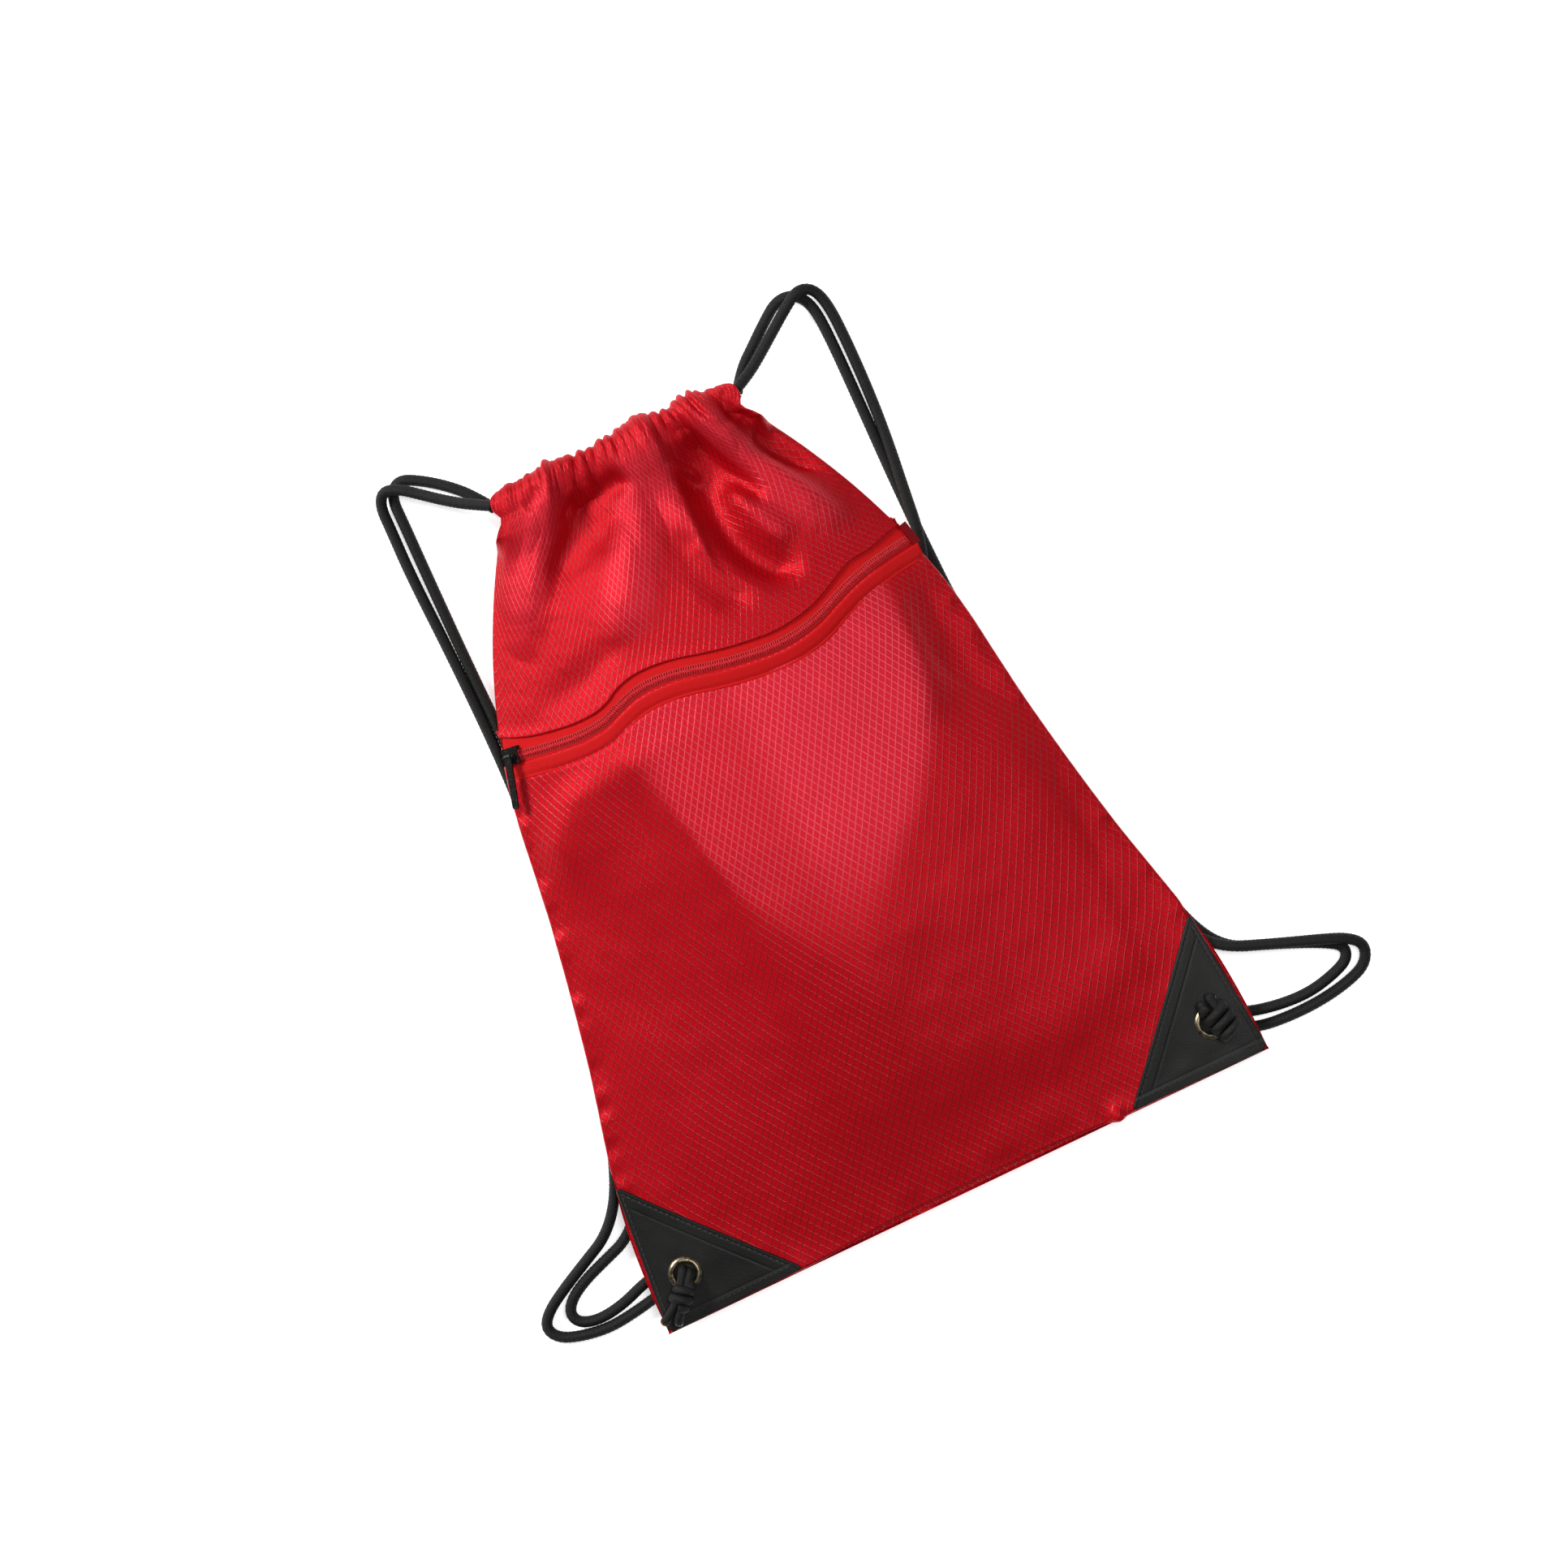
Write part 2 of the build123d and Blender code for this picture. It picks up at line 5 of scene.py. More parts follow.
import bpy
import numpy as np
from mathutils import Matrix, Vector

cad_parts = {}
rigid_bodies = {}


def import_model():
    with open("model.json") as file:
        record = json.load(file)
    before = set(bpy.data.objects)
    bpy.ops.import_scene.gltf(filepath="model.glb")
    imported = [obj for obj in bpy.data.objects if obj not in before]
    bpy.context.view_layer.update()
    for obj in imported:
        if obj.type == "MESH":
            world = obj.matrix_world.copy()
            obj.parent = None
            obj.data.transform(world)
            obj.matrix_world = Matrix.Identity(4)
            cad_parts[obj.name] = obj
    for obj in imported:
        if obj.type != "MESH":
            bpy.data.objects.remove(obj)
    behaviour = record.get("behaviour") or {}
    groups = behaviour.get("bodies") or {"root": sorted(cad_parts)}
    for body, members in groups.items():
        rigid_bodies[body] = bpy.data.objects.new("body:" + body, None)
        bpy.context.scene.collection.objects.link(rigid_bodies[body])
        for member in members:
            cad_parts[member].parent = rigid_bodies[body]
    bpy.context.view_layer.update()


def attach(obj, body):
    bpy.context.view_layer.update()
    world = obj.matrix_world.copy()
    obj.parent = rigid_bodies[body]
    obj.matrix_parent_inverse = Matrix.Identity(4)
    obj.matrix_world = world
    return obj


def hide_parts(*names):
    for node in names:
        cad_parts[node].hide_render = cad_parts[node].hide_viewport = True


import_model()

MM = 0.001

# Outline of the bag, from the bottom seam to the mouth: y, half width, level of the crown,
# level of the belly, width over which the underside rises, how full the upper side is.
STATIONS = np.array([
    (-222, 177.4, 14.6, 11.4, 85, 0.333),
    (-196, 177.0, 19.0, 9.0, 85, 0.333),
    (-165, 174.5, 25.5, 3.0, 80, 0.333),
    (-134, 169.0, 31.0, -3.0, 70, 0.333),
    (-70, 153.8, 39.0, -3.0, 62, 0.333),
    (0, 140.8, 44.0, -3.0, 62, 0.333),
    (66, 131.5, 46.0, -3.0, 62, 0.333),
    (106, 121.5, 44.6, -3.0, 60, 0.333),
    (140, 109.0, 39.5, -3.0, 56, 0.42),
    (172, 93.5, 32.5, -0.5, 50, 0.65),
    (203, 75.5, 24.6, 5.4, 34, 0.98),
])
SEAM_Z = 13.0
BOTTOM_Y = -222.0
CORD_RADIUS = 3.0
GROMMET = (155.5, -195.6)
CLOTH_THICK = 0.35
FLOOR_GAP = 0.35         # lowest level of the back's cloth
HEM_GAP = 4.2            # from the zip's centre line to the lower front's hem
ZIP_TOOTH_PITCH = 1.3
UV_HALF = 177.4          # half width of the flat cloth, which the mouth gathers up
UV_TOP = 460.0           # place of the mouth's edge along the flat cloth

# The zip's centre line, seen from above.
ZIP_LINE = np.array([
    (-124, 93.6), (-112, 91), (-98, 88.6), (-82, 86.8), (-68, 87.6), (-57, 91.3), (-46, 94.5),
    (-34, 95.2), (-20, 93.6), (-4, 89.8), (12, 86.8), (30, 85.0), (44, 85.8), (58, 89.0),
    (72, 94.8), (86, 100), (104, 104.3), (123.5, 107.3),
])
# How far the upper cloth's edge stays above it, along x.
UPPER_EDGE = np.array([
    (-124, 12.5), (-110, 9.0), (-95, 7.6), (-62, 6.6), (-50, 8.0), (0, 7.6), (60, 7.0), (76, 8.0),
    (86, 9.0), (100, 7.6), (120, 10.0),
])

# Routes of the free cords, the same points as in the frame's design, in metres.
CORDS = {
    "cord_left_inner": [
        (-0.072, 0.2175, 0.006), (-0.0795, 0.229, 0.0052), (-0.089, 0.239, 0.004),
        (-0.1005, 0.248, 0.003), (-0.1125, 0.2545, 0.003), (-0.1198, 0.2475, 0.003),
        (-0.1199, 0.231, 0.003), (-0.1206, 0.200, 0.003), (-0.1214, 0.150, 0.003),
        (-0.1213, 0.100, 0.003), (-0.1222, 0.060, 0.003), (-0.1277, 0.020, 0.003),
        (-0.1341, -0.020, 0.003), (-0.141, -0.062, 0.003), (-0.149, -0.100, 0.003),
        (-0.1575, -0.132, 0.003), (-0.1665, -0.156, 0.003), (-0.178, -0.1675, 0.003),
        (-0.192, -0.1723, 0.003), (-0.206, -0.1772, 0.003), (-0.2168, -0.183, 0.003),
        (-0.2222, -0.190, 0.003), (-0.2196, -0.197, 0.003), (-0.209, -0.200, 0.003),
        (-0.194, -0.198, 0.003), (-0.179, -0.1926, 0.003), (-0.166, -0.1905, 0.0032),
        (-0.1575, -0.1932, 0.004),
    ],
    "cord_left_outer": [
        (-0.072, 0.2175, 0.024), (-0.084, 0.2245, 0.0195), (-0.0945, 0.2325, 0.0145),
        (-0.1045, 0.241, 0.0104), (-0.114, 0.2488, 0.0098), (-0.1224, 0.2515, 0.0084),
        (-0.1272, 0.245, 0.0046), (-0.1275, 0.231, 0.003), (-0.1284, 0.205, 0.003),
        (-0.1272, 0.155, 0.003), (-0.1272, 0.100, 0.003), (-0.1291, 0.060, 0.003),
        (-0.1345, 0.020, 0.003), (-0.141, -0.020, 0.003), (-0.1482, -0.062, 0.003),
        (-0.1564, -0.098, 0.003), (-0.1648, -0.125, 0.003), (-0.174, -0.146, 0.003),
        (-0.187, -0.161, 0.003), (-0.203, -0.1688, 0.003), (-0.219, -0.1768, 0.003),
        (-0.2315, -0.1842, 0.003), (-0.2372, -0.1915, 0.003), (-0.2335, -0.1992, 0.003),
        (-0.222, -0.2038, 0.003), (-0.206, -0.2063, 0.003), (-0.190, -0.2046, 0.003),
        (-0.174, -0.2016, 0.003), (-0.164, -0.1996, 0.0034), (-0.1575, -0.198, 0.004),
    ],
    "cord_right_inner": [
        (0.072, 0.2175, 0.006), (0.0795, 0.228, 0.0052), (0.090, 0.2365, 0.004),
        (0.101, 0.2455, 0.003), (0.1125, 0.2538, 0.003), (0.123, 0.2525, 0.003),
        (0.1293, 0.243, 0.003), (0.1302, 0.222, 0.003), (0.1294, 0.180, 0.003),
        (0.1284, 0.140, 0.003), (0.1283, 0.100, 0.003), (0.1289, 0.062, 0.003),
        (0.1345, 0.020, 0.003), (0.141, -0.020, 0.003), (0.1482, -0.062, 0.003),
        (0.1564, -0.098, 0.003), (0.1644, -0.128, 0.003), (0.1724, -0.152, 0.003),
        (0.1835, -0.1653, 0.003), (0.200, -0.1716, 0.003), (0.216, -0.1782, 0.003),
        (0.229, -0.1842, 0.003), (0.239, -0.1904, 0.003), (0.2374, -0.1979, 0.003),
        (0.227, -0.2022, 0.003), (0.212, -0.2054, 0.003), (0.196, -0.2048, 0.003),
        (0.1795, -0.2016, 0.003), (0.168, -0.1965, 0.0034), (0.159, -0.194, 0.004),
    ],
    "cord_right_outer": [
        (0.072, 0.2175, 0.024), (0.082, 0.2228, 0.0195), (0.093, 0.2308, 0.0145),
        (0.104, 0.2392, 0.0104), (0.1145, 0.2468, 0.0093), (0.1245, 0.2534, 0.009),
        (0.133, 0.2508, 0.0056), (0.1369, 0.240, 0.003), (0.1374, 0.218, 0.003),
        (0.1364, 0.186, 0.0034), (0.1338, 0.158, 0.0068), (0.1304, 0.132, 0.0094),
        (0.1274, 0.106, 0.0096), (0.1204, 0.084, 0.0056), (0.1204, 0.056, 0.003),
        (0.1272, 0.018, 0.003), (0.1338, -0.022, 0.003), (0.141, -0.062, 0.003),
        (0.1493, -0.100, 0.003), (0.1578, -0.132, 0.0038), (0.1682, -0.1515, 0.0076),
        (0.180, -0.163, 0.0094), (0.196, -0.1696, 0.0094), (0.214, -0.1764, 0.0094),
        (0.2295, -0.182, 0.0094), (0.2422, -0.1874, 0.0074), (0.2494, -0.1948, 0.0034),
        (0.245, -0.2046, 0.003), (0.232, -0.2094, 0.003), (0.214, -0.2122, 0.003),
        (0.196, -0.2124, 0.003), (0.179, -0.2106, 0.003), (0.167, -0.2048, 0.0034),
        (0.159, -0.1995, 0.004),
    ],
}


# ---- Stage ----


def make_stage():
    """A pale floor, a soft key light from the mouth's left, a weak one from above, and the camera."""
    bpy.ops.mesh.primitive_plane_add(size=8, location=(0, 0, -0.0006))
    floor = bpy.context.object
    floor.name = "floor"
    white = plain_material("floor_white", (0.93, 0.93, 0.93), 0.9)
    glow = white.node_tree.nodes["Principled BSDF"].inputs
    glow["Emission Color"].default_value = (1, 1, 1, 1)
    glow["Emission Strength"].default_value = 0.62
    floor.data.materials.append(white)

    world = bpy.data.worlds.new("studio")
    world.use_nodes = True
    world.node_tree.nodes["Background"].inputs["Color"].default_value = (1, 1, 1, 1)
    world.node_tree.nodes["Background"].inputs["Strength"].default_value = 0.14
    bpy.context.scene.world = world

    def area(name, place, target, size, energy):
        light = bpy.data.lights.new(name, "AREA")
        light.shape = "RECTANGLE"
        light.size, light.size_y = size
        light.energy = energy
        obj = bpy.data.objects.new(name, light)
        obj.location = place
        aim = Vector(target) - Vector(place)
        obj.rotation_euler = aim.to_track_quat("-Z", "Y").to_euler()
        bpy.context.collection.objects.link(obj)

    area("key", (-1.70, 2.20, 1.75), (0, -0.06, 0.02), (1.0, 0.8), 99)
    area("top", (0.32, 0.02, 1.55), (0, -0.13, 0.02), (0.6, 0.5), 9.5)

    camera = bpy.data.cameras.new("camera")
    camera.sensor_width = 36
    camera.lens = 73.3
    eye = bpy.data.objects.new("camera", camera)
    eye.location = (0.00445, 0.0173, 1.72)
    eye.rotation_euler = (0, 0, radians(-25.5))
    bpy.context.collection.objects.link(eye)
    bpy.context.scene.camera = eye
    bpy.context.scene.view_settings.view_transform = "Standard"


# ---- Materials ----


class Nodes:
    """A short way to write a node tree."""

    def __init__(self, name):
        self.material = bpy.data.materials.new(name)
        self.material.use_nodes = True
        self.tree = self.material.node_tree
        self.shader = self.tree.nodes["Principled BSDF"]

    def add(self, kind, **settings):
        node = self.tree.nodes.new(kind)
        for key, value in settings.items():
            setattr(node, key, value)
        return node

    def link(self, source, target):
        self.tree.links.new(source, target)

    def value(self, item, socket):
        if isinstance(item, (int, float)):
            socket.default_value = item
        else:
            self.link(item, socket)

    def math(self, operation, a, b=0.0, clamp=False):
        node = self.add("ShaderNodeMath", operation=operation, use_clamp=clamp)
        self.value(a, node.inputs[0])
        self.value(b, node.inputs[1])
        return node.outputs[0]

    def plus(self, a, b):
        return self.math("ADD", a, b)

    def times(self, a, b):
        return self.math("MULTIPLY", a, b)

    def triangle_wave(self, value):
        """0 on every whole number, 0.5 half way between."""
        return self.math("PINGPONG", value, 0.5)

    def sine(self, place, pitch):
        """A sine wave that repeats after each pitch of the place."""
        return self.math("SINE", self.times(place, 2 * pi / pitch))

    def uv(self):
        node = self.add("ShaderNodeUVMap")
        split = self.add("ShaderNodeSeparateXYZ")
        self.link(node.outputs[0], split.inputs[0])
        return split.outputs[0], split.outputs[1]

    def place(self):
        return self.add("ShaderNodeTexCoord").outputs["Object"]

    def noise(self, vector, scale, detail=2.0, roughness=0.5):
        node = self.add("ShaderNodeTexNoise")
        self.link(vector, node.inputs["Vector"])
        node.inputs["Scale"].default_value = scale
        node.inputs["Detail"].default_value = detail
        node.inputs["Roughness"].default_value = roughness
        return node.outputs["Fac"]

    def ramp(self, factor, stops):
        node = self.add("ShaderNodeValToRGB")
        ramp = node.color_ramp
        for index, (at, colour) in enumerate(stops):
            stop = ramp.elements[index] if index < 2 else ramp.elements.new(at)
            stop.position = at
            stop.color = (*colour, 1)
        self.link(factor, node.inputs[0])
        return node.outputs[0]

    def mix(self, factor, first, second):
        node = self.add("ShaderNodeMix", data_type="RGBA")
        self.value(factor, node.inputs[0])
        for item, socket in ((first, node.inputs[6]), (second, node.inputs[7])):
            if isinstance(item, tuple):
                socket.default_value = (*item, 1)
            else:
                self.link(item, socket)
        return node.outputs[2]

    def bump(self, height, distance, strength=1.0, normal=None):
        node = self.add("ShaderNodeBump")
        node.inputs["Strength"].default_value = strength
        node.inputs["Distance"].default_value = distance
        self.link(height, node.inputs["Height"])
        if normal is not None:
            self.link(normal, node.inputs["Normal"])
        return node.outputs[0]

    def finish(self, colour, roughness, normal=None, **constants):
        """Wire the shader; constants are its other sockets, by their names in lower case."""
        if isinstance(colour, tuple):
            self.shader.inputs["Base Color"].default_value = (*colour, 1)
        else:
            self.link(colour, self.shader.inputs["Base Color"])
        self.value(roughness, self.shader.inputs["Roughness"])
        if normal is not None:
            self.link(normal, self.shader.inputs["Normal"])
        for key, setting in constants.items():
            socket = key.replace("_", " ").title().replace("Ior", "IOR")
            self.shader.inputs[socket].default_value = setting
        return self.material


def plain_material(name, colour, roughness):
    return Nodes(name).finish(colour, roughness)


def ripstop():
    """Red nylon with a diamond grid of thicker, shinier yarns, over a fine plain weave."""
    diamond_width, diamond_length, yarn_width, weave_pitch = 0.0052, 0.0066, 0.13, 0.00055
    n = Nodes("ripstop")
    u, v = n.uv()
    across = n.math("DIVIDE", u, diamond_width)
    along = n.math("DIVIDE", v, diamond_length)
    first = n.triangle_wave(n.plus(across, along))
    second = n.triangle_wave(n.math("SUBTRACT", across, along))
    nearest = n.math("MINIMUM", first, second)
    line = n.math("SUBTRACT", 1.0, n.math("DIVIDE", nearest, yarn_width), clamp=True)
    weave = n.times(n.sine(u, weave_pitch), n.sine(v, weave_pitch))
    cloud = n.noise(n.place(), 14, 3)
    base = n.mix(cloud, (0.50, 0.0030, 0.0085), (0.60, 0.0050, 0.012))
    # Painted sheen: the mesh's attribute marks where light would catch taut cloth; there the cloth and its
    # thick yarns are painted lighter, elsewhere the thick yarns are painted darker.
    painted_sheen = n.add("ShaderNodeAttribute", attribute_name="painted_sheen").outputs["Fac"]
    base = n.mix(painted_sheen, base, (0.68, 0.017, 0.034))
    thick_yarn_painted_sheen = n.mix(painted_sheen, (0.23, 0.0006, 0.0030), (0.86, 0.085, 0.125))
    yarn = n.mix(n.times(line, 0.85), base, thick_yarn_painted_sheen)
    gaps = n.times(n.plus(weave, 1.0), 0.10)
    thread = n.mix(gaps, yarn, (0.24, 0.001, 0.004))
    height = n.plus(n.times(line, 0.9), n.times(weave, 0.16))
    crease = n.noise(n.place(), 90, 4, 0.6)
    fine = n.bump(height, 0.00022, 0.55)
    normal = n.bump(crease, 0.0010, 0.16, fine)
    rough = n.math("SUBTRACT", 0.45, n.times(line, 0.15))
    shine = n.plus(0.15, n.times(line, 1.3))
    n.link(shine, n.shader.inputs["Specular IOR Level"])
    return n.finish(thread, rough, normal, specular_tint=(1.0, 0.42, 0.48, 1.0), metallic=0.32)


def tape_cloth():
    """The zip's tape: a close herringbone, a little more orange than the bag."""
    n = Nodes("zip_tape_cloth")
    u, v = n.uv()
    rib = n.triangle_wave(n.math("DIVIDE", v, 0.0012))
    slant = n.plus(n.math("DIVIDE", u, 0.0009), n.times(rib, 3.0))
    weave = n.sine(slant, 1.0)
    gaps = n.times(n.plus(weave, 1.0), 0.25)
    colour = n.mix(gaps, (0.66, 0.0085, 0.0105), (0.48, 0.0045, 0.0060))
    normal = n.bump(weave, 0.0001, 0.5)
    return n.finish(colour, 0.6, normal, specular_tint=(1.0, 0.4, 0.4, 1.0), specular_ior_level=0.2)


def coil_plastic():
    n = Nodes("coil_plastic")
    colour = n.ramp(n.noise(n.place(), 900, 2), [(0.35, (0.48, 0.012, 0.017)), (0.7, (0.68, 0.028, 0.038))])
    return n.finish(colour, 0.42, specular_tint=(1.0, 0.35, 0.38, 1.0), specular_ior_level=0.4)


def leather():
    """Black grained leather-look, a little greyer where it is rubbed."""
    n = Nodes("corner_leather")
    place = n.place()
    cells = n.add("ShaderNodeTexVoronoi", feature="F1")
    n.link(place, cells.inputs["Vector"])
    cells.inputs["Scale"].default_value = 1300
    grain = cells.outputs["Distance"]
    pores = n.noise(place, 2600, 2)
    wear = n.noise(place, 38, 4, 0.6)
    colour = n.ramp(wear, [(0.38, (0.0050, 0.0048, 0.0044)), (0.72, (0.0105, 0.0100, 0.0092))])
    height = n.plus(grain, n.times(pores, 0.35))
    rough = n.plus(0.42, n.times(wear, 0.18))
    return n.finish(colour, rough, n.bump(height, 0.00016, 0.5), specular_ior_level=0.3)


def brass():
    n = Nodes("antique_brass")
    age = n.noise(n.place(), 420, 4, 0.65)
    stops = [(0.36, (0.08, 0.062, 0.038)), (0.58, (0.28, 0.235, 0.155)), (0.8, (0.44, 0.39, 0.28))]
    colour = n.ramp(age, stops)
    rough = n.plus(0.24, n.times(age, 0.22))
    return n.finish(colour, rough, n.bump(age, 0.0001, 0.25), metallic=1.0)


def braid():
    """Black polyester braid: the plaits are in the mesh, the filaments here."""
    n = Nodes("braided_cord")
    u, v = n.uv()
    lengthwise = n.sine(n.plus(u, v), 0.0004)
    fuzz = n.noise(n.place(), 1500, 3, 0.7)
    colour = n.ramp(fuzz, [(0.3, (0.0028, 0.0028, 0.0028)), (0.75, (0.012, 0.012, 0.0115))])
    height = n.plus(n.times(lengthwise, 0.4), fuzz)
    return n.finish(colour, 0.62, n.bump(height, 0.00012, 0.6), specular_ior_level=0.3)


def black_metal():
    n = Nodes("black_enamel")
    wear = n.noise(n.place(), 700, 3)
    colour = n.ramp(wear, [(0.55, (0.012, 0.012, 0.013)), (0.78, (0.09, 0.09, 0.09))])
    return n.finish(colour, 0.34, n.bump(wear, 0.00006, 0.3), metallic=0.6, specular_ior_level=0.6)


def thread_material(name, colour):
    n = Nodes(name)
    u, v = n.uv()
    ply = n.sine(n.plus(u, v), 0.0005)
    return n.finish(colour, 0.6, n.bump(ply, 0.00008, 0.5), sheen_weight=0.2)


# ---- Mesh tools ----


def make_mesh(name, points, faces, uvs=None, material=None, smooth=True):
    """Build a mesh object from millimetre points."""
    mesh = bpy.data.meshes.new(name)
    mesh.from_pydata((np.asarray(points, float) * MM).tolist(), [], [tuple(int(i) for i in f) for f in faces])
    if uvs is not None:
        layer = mesh.uv_layers.new(name="UVMap")
        corners = np.empty(len(mesh.loops), dtype=np.int32)
        mesh.loops.foreach_get("vertex_index", corners)
        layer.data.foreach_set("uv", (np.asarray(uvs, float)[corners] * MM).ravel())
    if smooth:
        mesh.polygons.foreach_set("use_smooth", [True] * len(mesh.polygons))
    if material is not None:
        mesh.materials.append(material)
    mesh.validate()
    obj = bpy.data.objects.new(name, mesh)
    bpy.context.collection.objects.link(obj)
    return obj


def grid_faces(rows, columns, wrap=False, flip=False):
    """Faces of a grid of rows by columns, row by row."""
    r, c = np.meshgrid(np.arange(rows - 1), np.arange(columns if wrap else columns - 1), indexing="ij")
    after = (c + 1) % columns
    a = r * columns + c
    b = r * columns + after
    faces = np.stack([a, b, b + columns, a + columns], axis=-1).reshape(-1, 4)
    return faces[:, ::-1] if flip else faces


def grid_mesh(name, points, uvs, material, wrap=False, flip=False):
    """A surface through a grid of points; uvs has a place on the flat material for each."""
    faces = grid_faces(*points.shape[:2], wrap=wrap, flip=flip)
    return make_mesh(name, points.reshape(-1, 3), faces, uvs.reshape(-1, 2), material)


def thicken(obj, thickness):
    """Give a sheet its thickness, inwards."""
    modifier = obj.modifiers.new("thickness", "SOLIDIFY")
    modifier.thickness = thickness * MM
    modifier.offset = -1.0
    modifier.use_even_offset = False
    mesh = evaluated_mesh(obj)
    obj.modifiers.clear()
    obj.data = mesh


def smoothstep(x):
    """Rise smoothly from 0 at 0 to 1 at 1."""
    x = np.clip(x, 0, 1)
    return x * x * (3 - 2 * x)


def bell(distance, width):
    """A round bump of height 1 that fades out at about twice the width."""
    return np.exp(-((distance / width) ** 2))


def spline(points, samples):
    """A Catmull-Rom curve through the points, evenly spaced by its own parameter."""
    p = np.asarray(points, float)
    p = np.vstack([2 * p[0] - p[1], p, 2 * p[-1] - p[-2]])
    t = np.linspace(0, len(points) - 1, samples)
    i = np.minimum(t.astype(int), len(points) - 2)
    f = (t - i)[:, None]
    a, b, c, d = p[i], p[i + 1], p[i + 2], p[i + 3]
    return 0.5 * (2 * b + (c - a) * f + (2 * a - 5 * b + 4 * c - d) * f**2 + (3 * b - a - 3 * c + d) * f**3)


def even(points, spacing):
    """Space points evenly along a polyline."""
    p = np.asarray(points, float)
    run = np.concatenate([[0], np.cumsum(np.linalg.norm(np.diff(p, axis=0), axis=1))])
    count = max(2, int(round(run[-1] / spacing)) + 1)
    at = np.linspace(0, run[-1], count)
    return np.stack([np.interp(at, run, p[:, k]) for k in range(p.shape[1])], axis=1), at


def unit(vectors):
    """Vectors of length 1 with the same directions."""
    return vectors / np.linalg.norm(vectors, axis=-1, keepdims=True)


def circle(count):
    """Angles of points spaced evenly round a circle."""
    return np.arange(count) / count * 2 * pi


def grid(x, y, z):
    """Points of a grid from their coordinates, which are broadcast together."""
    return np.stack(np.broadcast_arrays(x, y, z), axis=-1)


def evaluated_mesh(obj):
    return bpy.data.meshes.new_from_object(obj.evaluated_get(bpy.context.evaluated_depsgraph_get()))


class Noise:
    """Smooth noise on a square lattice, the same on every run."""

    cells = 64

    def __init__(self, seed):
        self.table = np.random.default_rng(seed).uniform(-1, 1, (self.cells, self.cells))

    def __call__(self, x, y):
        x, y = np.broadcast_arrays(np.asarray(x, float), np.asarray(y, float))
        i, j = np.floor(x).astype(int), np.floor(y).astype(int)
        fx, fy = smoothstep(x - i), smoothstep(y - j)
        t = self.table
        i0, i1, j0, j1 = i % self.cells, (i + 1) % self.cells, j % self.cells, (j + 1) % self.cells
        low = t[i0, j0] * (1 - fx) + t[i1, j0] * fx
        high = t[i0, j1] * (1 - fx) + t[i1, j1] * fx
        return low * (1 - fy) + high * fy


# ---- Shape of the bag ----


STATION_CURVE = spline(STATIONS, 400)
ZIP_CURVE = spline(ZIP_LINE, 300)

# Half width of the gathered mouth, above the side seams.
MOUTH = np.array([
    (-222, 0), (196, 0), (199, 0.1), (203, -0.9), (206, -2.4), (209, -2.4), (213, 1.7), (217, 4.1),
    (219.5, 4.6), (221.5, 4.1), (223.3, 1.6), (230, 5.0),
])


def station(y):
    """Outline values at y, smoothly interpolated: half width, crown, belly, rise, fullness."""
    return [np.interp(y, STATION_CURVE[:, 0], STATION_CURVE[:, k]) for k in range(1, 6)]


def half_width(y):
    """Half width of the bag, the gathered mouth included."""
    half = station(y)[0]
    beyond = np.maximum(y - STATIONS[-1, 0], 0)
    return half - 0.52 * beyond + np.interp(y, MOUTH[:, 0], MOUTH[:, 1])


def front_z(x, y):
    """Level of the front's smooth shape, an arch over each section, solved by halving."""
    half, crown, _, _, fullness = station(y)
    share = np.clip(x / half, -1, 1)
    low, high = np.zeros_like(share), np.ones_like(share)
    for _ in range(22):
        t = (low + high) / 2
        at = -(1 - t) ** 3 - 3 * fullness * (1 - t) ** 2 * t + 3 * fullness * (1 - t) * t**2 + t**3
        low = np.where(at < share, t, low)
        high = np.where(at < share, high, t)
    edge = SEAM_Z + 1.0
    return edge + (crown - edge) / 0.75 * 3 * t * (1 - t)


def back_z(x, y):
    """Level of the back's smooth shape, flat where it lies on the floor."""
    half, _, belly, rise, _ = station(y)
    inward = (half - np.abs(x)) / rise
    level = (SEAM_Z - 1.0) - (SEAM_Z - 1.0 - belly) * smoothstep(inward)
    return np.maximum(level, FLOOR_GAP)


def zip_y(x):
    """The zip's centre line, as y along x."""
    return np.interp(x, ZIP_CURVE[:, 0], ZIP_CURVE[:, 1])


